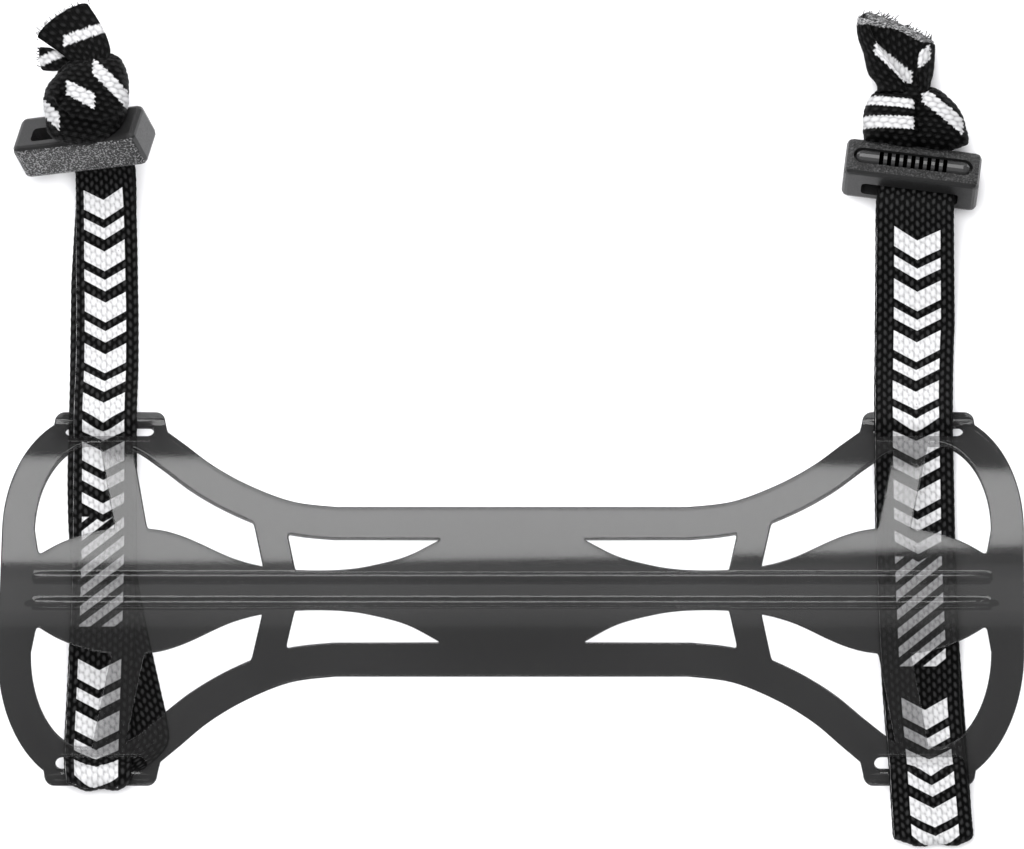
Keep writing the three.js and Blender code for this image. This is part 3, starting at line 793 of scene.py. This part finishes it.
def front_keys(rows):
    under, settle = BAR_Y - UNDER_REACH, BAR_Y - SETTLE_REACH
    return [
        run_key(rows, BAR_Y + FLAT_REACH, UPPER_RUN_Z),
        run_key(rows, BAR_Y + RISEN_REACH, UPPER_RUN_Z + BAR_RADIUS),
        *over_bar(rows, 1, WRAP_FROM, WRAP_TO),
        run_key(rows, under, UPPER_RUN_Z + GAP),
        run_key(rows, settle, UPPER_RUN_Z),
        run_key(rows, settle - LEVEL_END, UPPER_RUN_Z),
        run_key(rows, LEVEL_END, UPPER_RUN_Z),
        run_key(rows, -LEVEL_END, UPPER_RUN_Z),
        run_key(rows, LEVEL_END - settle, UPPER_RUN_Z),
        run_key(rows, -settle, UPPER_RUN_Z),
        run_key(rows, -under, UPPER_RUN_Z + GAP),
        *over_bar(rows, -1, WRAP_TO, WRAP_FROM),
    ]


def tight_fold(spec):
    """Round the near bar and down, with the lower layer sent off aside."""
    keys = over_bar(spec["front"], -1, TIGHT_FROM, TIGHT_TO)
    low = run_key(spec["back"], -BAR_Y + 1, LOWER_RUN_Z)
    for index, key in enumerate(keys):
        share = (index / WRAP_STEPS) ** 2
        key.at[0] += (low.at[0] - key.at[0]) * share * TIGHT_DRIFT
    return keys


def slack_fold(spec):
    """Out past the near bar, with a slanted crease on the floor."""
    bend = (UPPER_RUN_Z - LOWER_RUN_Z) / 2 + GAP
    y = -(HALF_SPAN + FOLD_REACH - bend - STRAP_THICKNESS / 2)
    keys = [run_key(spec["front"], (y - HALF_SPAN) / 2, UPPER_RUN_Z + BAR_RADIUS)]
    for step in range(SLACK_STEPS + 1):
        angle = math.pi / 2 - math.pi * step / SLACK_STEPS
        at = y - bend * math.cos(angle)
        keys.append(run_key(spec["front"], at, LOWER_RUN_Z + bend + bend * math.sin(angle)))
    return keys


def strap_route(side, spec):
    keys = lock_keys(side, spec, 1) + front_keys(spec["front"]) + spec["fold"](spec)
    keys += [run_key(spec["back"], share * HALF_SPAN, LOWER_RUN_Z) for share in BACK_SHARES]
    return keys + lock_keys(side, spec, -1)[::-1]


def resampled(keys, pitch):
    """Stations a pitch apart on the smooth curve through the keys."""
    points = [key.at for key in keys]
    spans = len(keys) - 1
    shares = np.linspace(0, 1, spans * ROUTE_SAMPLES + 1)
    dense = np.array([catmull_rom(points, share) for share in shares])
    lengths = np.concatenate(([0], np.cumsum(np.linalg.norm(np.diff(dense, axis=0), axis=1))))
    count = int(lengths[-1] / pitch)
    at_length = np.linspace(0, lengths[-1], count + 1)
    share = np.interp(at_length, lengths, shares) * spans
    middle = np.stack([np.interp(at_length, lengths, dense[:, axis]) for axis in range(3)], axis=1)
    places = np.arange(spans + 1)
    across = np.stack(
        [np.interp(share, places, [key.across[axis] for key in keys]) for axis in range(3)], axis=1
    )
    width = np.interp(share, places, [key.width for key in keys])
    middle[:, 2] = np.maximum(middle[:, 2], LOWER_RUN_Z)
    along = np.gradient(middle, axis=0)
    along /= np.linalg.norm(along, axis=1, keepdims=True)
    across /= np.linalg.norm(across, axis=1, keepdims=True)
    face = np.cross(along, across)
    face /= np.linalg.norm(face, axis=1, keepdims=True)
    return middle, across, face, width, at_length


CELL_WIDE = 1.05
CELL_LONG = 1.85
WEAVE_HEIGHT = 0.16


def weave_height(across, along):
    """Staggered oval stitches in columns, from 0 between them to 1 on their crests."""
    column = np.floor(across / CELL_WIDE)
    odd = np.mod(column, 2)
    u = across / CELL_WIDE - column - 0.5
    v = along / CELL_LONG + odd * 0.5 + u * np.where(odd > 0, 0.22, -0.22)
    v = v - np.floor(v) - 0.5
    return np.clip(1 - (u * 1.75) ** 2 - (v * 1.95) ** 2, 0, 1) ** 0.6


def sheet_mesh(name, rings, weave, paint=None):
    """A closed mesh from rings of points, with the weave's place kept at each point."""
    rows, size = rings.shape[:2]
    index = np.arange(rows * size).reshape(rows, size)
    nxt = np.roll(index, -1, axis=1)
    quads = np.stack((index[:-1], nxt[:-1], nxt[1:], index[1:]), axis=-1).reshape(-1, 4)
    faces = [tuple(face) for face in quads.tolist()]
    faces += [tuple(index[0][::-1].tolist()), tuple(index[-1].tolist())]
    mesh = bpy.data.meshes.new(name)
    mesh.from_pydata(in_metres(rings.reshape(-1, 3)).tolist(), [], faces)
    attribute = mesh.attributes.new("weave", "FLOAT_VECTOR", "POINT")
    attribute.data.foreach_set("vector", weave.reshape(-1, 3).ravel())
    white = np.zeros(rows * size) if paint is None else paint.ravel()
    mesh.attributes.new("paint", "FLOAT", "POINT").data.foreach_set("value", white)
    mesh.shade_smooth()
    bm = bmesh.new()
    bm.from_mesh(mesh)
    bmesh.ops.recalc_face_normals(bm, faces=bm.faces)
    bm.to_mesh(mesh)
    bm.free()
    return mesh


def set_down(name, mesh, material, node):
    mesh.materials.append(material)
    piece = bpy.data.objects.new(name, mesh)
    bpy.context.collection.objects.link(piece)
    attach(piece, "root")
    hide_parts(node)


STRAPS = {
    "left": {
        "front": LEFT_FRONT, "back": LEFT_BACK, "width": 12.8, "fold": tight_fold,
        "columns": 44, "print_from": 17, "print_half": 4.15, "print_aside": -0.3,
    },
    "right": {
        "front": RIGHT_FRONT, "back": RIGHT_BACK, "width": 15.7, "fold": slack_fold,
        "columns": 50, "print_from": 8.8, "print_half": 4.6, "print_aside": 0.5,
    },
}
STATION_PITCH = 0.38
# How far the ends of a fold draw back, and how uneven it is between them
FOLD_CURL = 1.3
FOLD_WAVE = 0.25
FOLD_CURL_LENGTH = 9
# The webbing's selvedges: how far in its faces end, and how far out its ragged side stands
SIDE_INSET = 0.35
SIDE_SINK = 0.06
SIDE_RAGGED = 0.14
# A place across the webbing that no print reaches
NO_PRINT = 40.0


def add_strap(side):
    spec = STRAPS[side]
    middle, across, face, width, along = resampled(strap_route(side, spec), STATION_PITCH)
    lower_layer = middle[:, 2] < (LOWER_RUN_Z + UPPER_RUN_Z) / 2
    along = along - along[np.argmin(np.abs(middle[:, 1]) + lower_layer * 50)]
    columns = spec["columns"]
    u = np.linspace(-1, 1, columns + 1)
    half = width[:, None] / 2
    reach = (half - SIDE_INSET) * u[None, :]
    place = reach * (spec["width"] / width[:, None])
    height = weave_height(place, along[:, None] + 0 * reach)
    thick = STRAP_THICKNESS / 2 - WEAVE_HEIGHT + WEAVE_HEIGHT * height
    edge = weave_height(np.zeros_like(along), along)[:, None] * SIDE_RAGGED

    def points(reach, lift):
        aside = across[:, None, :] * reach[..., None]
        return middle[:, None, :] + aside + face[:, None, :] * lift[..., None]

    top = points(reach, thick)
    bottom = points(reach[:, ::-1], -thick[:, ::-1])
    right = points(half - SIDE_SINK + edge, 0 * half)
    left = points(-(half - SIDE_SINK + edge), 0 * half)
    rings = np.concatenate((top, right, bottom, left), axis=1)
    lowest = middle[:, 1].min()
    near_fold = np.clip(1 - (middle[:, 1] - lowest) / FOLD_CURL_LENGTH, 0, 1)[:, None] ** 2
    off = (rings[..., 0] - middle[:, 0:1]) / half
    rings[..., 1] += near_fold * (FOLD_CURL * np.abs(off) ** 3 + FOLD_WAVE * np.sin(off * 7 + 0.8))
    rings[..., 2] = np.maximum(rings[..., 2], 0)
    shown = place - spec["print_aside"]
    weave_top = np.stack((shown, along[:, None] + 0 * reach, height), axis=-1)
    hidden = np.full_like(shown, NO_PRINT)
    weave_bottom = np.stack((hidden, along[:, None] + 0 * reach, height[:, ::-1]), axis=-1)
    side_weave = np.stack((hidden[:, :1], along[:, None], edge / SIDE_RAGGED), axis=-1)
    weave = np.concatenate((weave_top, side_weave, weave_bottom, side_weave), axis=1)
    weave[..., 1] += spec["print_from"]
    back = along > (FOLD_REACH if side == "right" else 0) + HALF_SPAN + 2
    unprinted = along + spec["print_from"] < (MARKS_START + BADGE_LENGTH) / 2 - PRINT_PERIOD
    weave[back | unprinted, :, 0] = NO_PRINT
    mesh = sheet_mesh(side + "_webbing", rings, weave)
    webbings[side] = webbing(side + "_webbing", spec["print_half"])
    set_down(side + "_webbing", mesh, webbings[side], side + "_strap")


# Knots, seen from above: outlines, and the lines where one layer lies on another or is creased,
# each with how deep and how soft it is
KNOTS = {
    "right": {
        "centre": (81, 96.3, 6.2),
        "high": (5.7, 5.3),
        "outline": (
            (91.4, 91.4), (90.8, 94.6), (89.5, 98.1), (87.6, 100.3), (85.1, 102.3), (83.2, 102.9),
            (80.6, 103.3), (77.6, 103.3), (74.8, 102.9), (72.6, 101.6), (71.2, 99.8), (70.5, 97.6),
            (70.4, 95.4), (70.4, 93.4), (70.6, 91.6), (75.0, 91.2), (81.6, 90.9), (89.2, 90.6),
        ),
        "steps": (
            (2.6, 0.5, (
                (87.6, 103.8), (84.0, 102.2), (82.4, 100.8), (81.4, 99.3), (78.6, 100.3),
                (73.6, 101.1), (69.2, 102.2),
            )),
        ),
        "creases": (
            (1.5, 0.9, ((81.4, 99.3), (81.2, 96.5), (81.6, 93.5))),
            (0.5, 0.7, ((81.6, 96.4), (86, 95.2), (90, 91.6))),
        ),
        "lean": -0.12,
    },
    "left": {
        "centre": (-85.1, 98.6, 19.2),
        "high": (7.2, 7.6),
        "outline": (
            (-76.6, 99.7), (-76.7, 102.7), (-77.2, 104.7), (-78.2, 106.6), (-79.8, 107.5),
            (-82.4, 107.5), (-85.6, 106.9), (-89.9, 104.7), (-91.3, 102.7), (-93.0, 100.3),
            (-93.5, 98.1), (-93.0, 95.0), (-92.7, 91.9), (-91.2, 90.4), (-87.4, 89.4),
            (-82.4, 90.0), (-78.4, 92.6), (-77.0, 95.8),
        ),
        "steps": (
            (1.5, 0.3, (
                (-95.2, 99.5), (-91.2, 97.9), (-90.4, 96.3), (-88.0, 94.5), (-84.8, 93.7),
                (-81.6, 93.5), (-80.0, 93.9), (-75.4, 95.5),
            )),
            (1.8, 0.35, (
                (-75.4, 106.4), (-78.2, 106.0), (-81.6, 105.5), (-85.0, 105.2), (-88.4, 104.2),
                (-92.4, 102.0),
            )),
        ),
        "creases": (
            (1.2, 0.6, ((-91.5, 103), (-89.6, 101.0), (-89.2, 98.8), (-90.2, 96.8))),
            (0.5, 0.8, ((-84, 105), (-81.2, 101.5), (-79.0, 96))),
        ),
        "lean": -0.15,
    },
}
KNOT_AROUND = 320
KNOT_DOWN = 150
# The knots' and tails' stitches get a weaker painted highlight on their crests than the straps'
KNOT_CREST_HIGHLIGHT = 0.75
# How full the knots' sides and tops are, from 0 for a box to 1 for a ball, and the outline's blur
KNOT_SIDE_SHAPE = 0.8
KNOT_TOP_SHAPE = 0.85
KNOT_BLUR = 4


def bar(start, end, width):
    """Outline of one slanted bar of the print, as it shows on crumpled webbing."""
    return (start, end, (end[0], end[1] + width), (start[0], start[1] + width))


# White parts of the print on knots and tails, seen from above, with how white they are
PATCHES = {
    "left_knot": (
        (1, bar((-88.8, 98.4), (-83.2, 95.4), 3.0)),
        (1, bar((-83.6, 102.4), (-75.8, 95.0), 3.6)),
        (1, bar((-94.4, 96.0), (-90.2, 91.6), 3.2)),
    ),
    "right_knot": (
        (1, bar((70.0, 99.0), (80.4, 97.6), 1.9)),
        (1, bar((69.8, 94.2), (80.4, 93.6), 2.4)),
        (1, bar((82.0, 99.0), (90.2, 92.6), 3.4)),
    ),
    "right_tail_back": (
        (1, bar((72.8, 109.0), (80.2, 103.0), 3.0)),
        (0.22, (
            (70.4, 115.9), (71.0, 119.0), (77.4, 118.5), (85.6, 113.5), (84.4, 111.0),
            (81.6, 112.5), (77.2, 114.9), (73.0, 115.6),
        )),
    ),
    "right_tail_fold": (
        (1, bar((72.8, 109.6), (79.4, 102.6), 2.2)),
        (0.3, ((69.0, 115.6), (69.2, 117.6), (72.0, 117.2), (72.2, 115.2))),
    ),
    "right_tail_side": (
        (1, bar((81.2, 106.2), (83.4, 108.4), 3.0)),
    ),
    "left_tail": (
        (1, bar((-89.4, 108.8), (-79.6, 112.2), 2.2)),
    ),
    "left_stub": (
        (1, bar((-95.0, 105.4), (-88.4, 107.4), 1.8)),
    ),
}


# Cut ends are worn and frayed, so their grey is uneven
WORN = np.random.default_rng(11)


def painted(name, x, y):
    """How white each place is, with edges that follow the stitches."""
    x = x + 0.16 * np.sin(y * 2 * math.pi / 0.9)
    y = y + 0.1 * np.sin(x * 2 * math.pi / 0.8)
    white = np.zeros(x.shape)
    for level, polygon in PATCHES[name]:
        inside = np.zeros(x.shape, bool)
        for (ax, ay), (bx, by) in zip(polygon, polygon[1:] + polygon[:1]):
            if ay != by:
                crosses = (ay > y) != (by > y)
                inside ^= crosses & (x < (bx - ax) * (y - ay) / (by - ay) + ax)
        if level < 0.5:
            level = level * WORN.uniform(0, 2, x.shape) ** 2
        white = np.maximum(white, inside * level)
    return white


def side_distance(x, y, line):
    """Distance from a line of points, positive on its right hand side."""
    best = np.full(x.shape, np.inf)
    signed = np.zeros(x.shape)
    for (ax, ay), (bx, by) in zip(line[:-1], line[1:]):
        dx, dy = bx - ax, by - ay
        share = np.clip(((x - ax) * dx + (y - ay) * dy) / (dx * dx + dy * dy), 0, 1)
        distance = np.hypot(x - ax - share * dx, y - ay - share * dy)
        turn = np.sign((y - ay) * dx - (x - ax) * dy)
        nearer = distance < best
        best = np.where(nearer, distance, best)
        signed = np.where(nearer, -turn * distance, signed)
    return signed


def add_knot(side):
    """A closed lump inside the outline, with its layers stepped and creased on top."""
    spec = KNOTS[side]
    cx, cy, cz = spec["centre"]
    outline = np.array(spec["outline"])
    bearing = np.unwrap(np.arctan2(outline[:, 1] - cy, outline[:, 0] - cx))
    radius = np.hypot(outline[:, 0] - cx, outline[:, 1] - cy)
    bearing = np.concatenate((bearing - 2 * math.pi, bearing, bearing + 2 * math.pi))
    radius = np.tile(radius, 3)
    around = np.arange(KNOT_AROUND) / KNOT_AROUND * 2 * math.pi + bearing[len(outline)]
    reach = np.interp(around, bearing, radius)
    kernel = np.hanning(2 * KNOT_BLUR + 1)
    kernel = kernel / kernel.sum()
    padded = np.concatenate((reach[-KNOT_BLUR:], reach, reach[:KNOT_BLUR]))
    reach = np.convolve(padded, kernel, "valid")
    down = (np.arange(KNOT_DOWN) + 0.5) / KNOT_DOWN * math.pi
    out = np.sin(down)[:, None] ** KNOT_SIDE_SHAPE
    rise = np.cos(down)[:, None]
    x = cx + out * reach * np.cos(around)
    y = cy + out * reach * np.sin(around)
    height = np.where(rise > 0, spec["high"][0], spec["high"][1])
    lift = np.sign(rise) * np.abs(rise) ** KNOT_TOP_SHAPE * height + 0 * reach
    for depth, soft, line in spec["steps"]:
        beyond = np.clip(side_distance(x, y, line) / soft + 0.5, 0, 1)
        lift -= depth * beyond * beyond * (3 - 2 * beyond) * np.clip(rise * 2.5, 0, 1)
    for depth, soft, line in spec["creases"]:
        near = np.exp(-(side_distance(x, y, line) / soft) ** 2)
        lift -= depth * near * np.clip(rise * 2, 0, 1)
    lean = spec["lean"]
    across = (y - cy) - (x - cx) * lean
    along = (x - cx) + (y - cy) * lean
    stitches = weave_height(across, along)
    normal = np.stack((out * np.cos(around), out * np.sin(around), rise + 0 * reach), axis=-1)
    rings = np.stack((x, y, cz + lift), axis=-1) + normal * (stitches * WEAVE_HEIGHT)[..., None]
    rings[..., 2] = np.maximum(rings[..., 2], 0)
    weave = np.stack((across + NO_PRINT, along, stitches * KNOT_CREST_HIGHLIGHT), axis=-1)
    paint = painted(side + "_knot", x, y) * (rise > -0.2)
    mesh = sheet_mesh(side + "_knot", rings, weave, paint)
    set_down(side + "_knot", mesh, webbings[side], side + "_strap")


# Tails: strap, thickness, bow of the middle, bulge of the cut end, and the two edges, by x, y
# and z of points from the knot to the cut end
TAILS = {
    "right_tail_back": ("right", 1.3, -0.5, 0.6, (
        (73.2, 101.8, 5), (73.0, 103.9, 4.6), (71.7, 105.7, 4.4), (70.7, 110.0, 4.2),
        (69.7, 113.1, 4), (69.4, 115.7, 3.8), (70.0, 117.7, 3.8), (71.2, 118.4, 3.8),
    ), (
        (82.8, 101.8, 5), (83.2, 103.5, 4.6), (83.9, 105.7, 4.4), (84.1, 108.8, 4.2),
        (84.3, 110.4, 4), (84.4, 111.5, 3.8), (84.5, 112.1, 3.8), (84.4, 112.5, 3.8),
    )),
    "right_tail_fold": ("right", 1.2, 0.9, 0.3, (
        (73.6, 101.7, 6.2), (72.9, 103.8, 5.4), (71.5, 105.7, 5), (70.5, 109.9, 4.9),
        (69.5, 112.9, 4.8), (69.2, 115.2, 4.6), (69.5, 117.0, 4.6),
    ), (
        (79.2, 101.5, 7.6), (78.6, 103.5, 7.8), (77.6, 105.0, 8.2), (75.0, 108.5, 8.2),
        (73.2, 111.2, 7.6), (72.0, 113.7, 7), (71.4, 115.9, 6.6),
    )),
    "right_tail_side": ("right", 1.2, 0.6, 0.2, (
        (81.4, 101.3, 7.6), (81.4, 103.0, 8), (81.1, 105.4, 8.2), (81.3, 108.5, 7.8),
        (82.2, 111.6, 7.2),
    ), (
        (83.6, 101.7, 6), (83.7, 103.4, 5.2), (84.3, 105.7, 4.9), (84.6, 108.5, 4.8),
        (84.7, 111.4, 4.6),
    )),
    "left_tail": ("left", 1.3, 0.7, 1.3, (
        (-86.4, 103.3, 21), (-87.2, 105.0, 20.5), (-89.2, 106.9, 19.5), (-92.0, 109.1, 18.5),
        (-94.7, 111.1, 17.5),
    ), (
        (-81.6, 104.8, 21.5), (-80.2, 107.3, 21), (-81.0, 111.1, 20), (-82.8, 114.7, 18.5),
        (-84.8, 117.9, 17.5),
    )),
    "left_stub": ("left", 1.3, 0.5, 0.3, (
        (-87.6, 102.5, 18), (-90.0, 104.4, 17), (-91.8, 104.6, 16), (-93.7, 104.9, 15),
    ), (
        (-88.0, 106.9, 18.5), (-90.0, 107.8, 17.5), (-92.0, 109.1, 16.5), (-94.2, 109.5, 15.5),
    )),
}
TAIL_PITCH = 0.22


def edge_line(points, count):
    points = [np.array(point, float) for point in points]
    return np.array([catmull_rom(points, share) for share in np.linspace(0, 1, count)])


def add_tail(name):
    """A thick sheet between two edges, bowed up by a rise in its middle."""
    side, thick, bow, bulge, first, second = TAILS[name]
    length = sum(np.linalg.norm(np.subtract(b, a)) for a, b in zip(first[:-1], first[1:]))
    rows = int(length / TAIL_PITCH)
    left, right = edge_line(first, rows), edge_line(second, rows)
    wide = np.linalg.norm(right - left, axis=1)
    columns = int(wide.max() / TAIL_PITCH)
    u = np.linspace(0, 1, columns + 1)
    sheet = left[:, None, :] * (1 - u)[None, :, None] + right[:, None, :] * u[None, :, None]
    sheet[..., 2] += bow * (1 - (2 * u - 1) ** 2)
    ahead = (left + right)[-1] - (left + right)[-4]
    share = np.linspace(0, 1, rows) ** 3
    out = (1 - (2 * u - 1) ** 2) ** 0.7 * bulge
    sheet += ahead / np.linalg.norm(ahead) * (share[:, None] * out[None, :])[..., None]
    steps = np.linalg.norm(np.diff((left + right) / 2, axis=0), axis=1)
    along = np.concatenate(([0], np.cumsum(steps)))[:, None] + 0 * u
    across = (u - 0.5)[None, :] * wide.mean() + 0 * along
    normal = np.cross(np.gradient(sheet, axis=0), np.gradient(sheet, axis=1))
    normal /= np.linalg.norm(normal, axis=2, keepdims=True)
    normal *= np.sign(normal[..., 2:3].mean())
    stitches = weave_height(across, along)
    edge = np.clip(np.minimum(u, 1 - u) * wide.mean() / 0.7, 0, 1) ** 0.5
    lift = (thick / 2 - WEAVE_HEIGHT + stitches * WEAVE_HEIGHT) * np.maximum(edge, 0.3)[None, :]
    top = sheet + normal * lift[..., None]
    bottom = (sheet - normal * lift[..., None])[:, ::-1]
    rings = np.concatenate((top, bottom), axis=1)
    rings[..., 2] = np.maximum(rings[..., 2], 0)
    weave = np.stack((across + NO_PRINT, along, stitches * KNOT_CREST_HIGHLIGHT), axis=-1)
    paint = painted(name, sheet[..., 0], sheet[..., 1])
    paint = np.concatenate((paint, 0 * paint), axis=1)
    mesh = sheet_mesh(name, rings, np.concatenate((weave, weave[:, ::-1]), axis=1), paint)
    set_down(name, mesh, webbings[side], side + "_strap")
    if name in FIBRES:
        add_fibres(name, sheet[-1], ahead / np.linalg.norm(ahead))


# How many loose threads each cut end has
FIBRES = {"left_tail": 60, "right_tail_back": 70, "right_tail_fold": 20, "left_stub": 18}
FIBRE_RADIUS = 0.08


def add_fibres(name, ends, ahead):
    """Short loose threads along a cut end."""
    dice = np.random.default_rng(len(name))
    curve = bpy.data.curves.new(name + "_fibres", "CURVE")
    curve.dimensions = "3D"
    curve.bevel_depth = FIBRE_RADIUS * MM
    curve.bevel_resolution = 1
    for _ in range(FIBRES[name]):
        start = ends[dice.integers(len(ends))] + dice.normal(0, 0.12, 3)
        reach = ahead * dice.uniform(0.5, 0.95) + dice.normal(0, 0.2, 3)
        bend = dice.normal(0, 0.22, 3)
        spline = curve.splines.new("POLY")
        spline.points.add(4)
        for point, share in zip(spline.points, np.linspace(0, 1, 5)):
            place = start - ahead * 0.3 + reach * share + bend * share * share
            place[2] = max(place[2], FIBRE_RADIUS)
            point.co = (*in_metres(place), 1)
    side = TAILS[name][0]
    holder = bpy.data.objects.new(name + "_fibres", curve)
    mesh = taken_as_mesh(holder)
    mesh.attributes.new("paint", "FLOAT", "POINT")
    # Every weave value is set past the print; the crest value also gives the fibres the webbing's
    # full painted highlight
    weave = np.full(len(mesh.vertices) * 3, NO_PRINT)
    mesh.attributes.new("weave", "FLOAT_VECTOR", "POINT").data.foreach_set("vector", weave)
    mesh.shade_smooth()
    set_down(name + "_fibres", mesh, webbings[side], side + "_strap")


def finish_locks():
    for side in LOCKS:
        centre, axes = lock_frame(side)
        finishes = {
            "_lock_body": black_plastic(side + "_lock", centre, axes, LOCKS[side]["speckle"]),
            "_lock_bar": toothed_plastic(side + "_teeth", centre, axes),
        }
        for name, finish in finishes.items():
            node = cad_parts[side + name]
            node.data.materials.clear()
            node.data.materials.append(finish)


# Each strap's material, which its knot and tails share
webbings = {}

add_camera()
add_world()
add_lights()
add_floor()
add_plate()
for side in STRAPS:
    add_strap(side)
    add_knot(side)
for name in TAILS:
    add_tail(name)
finish_locks()
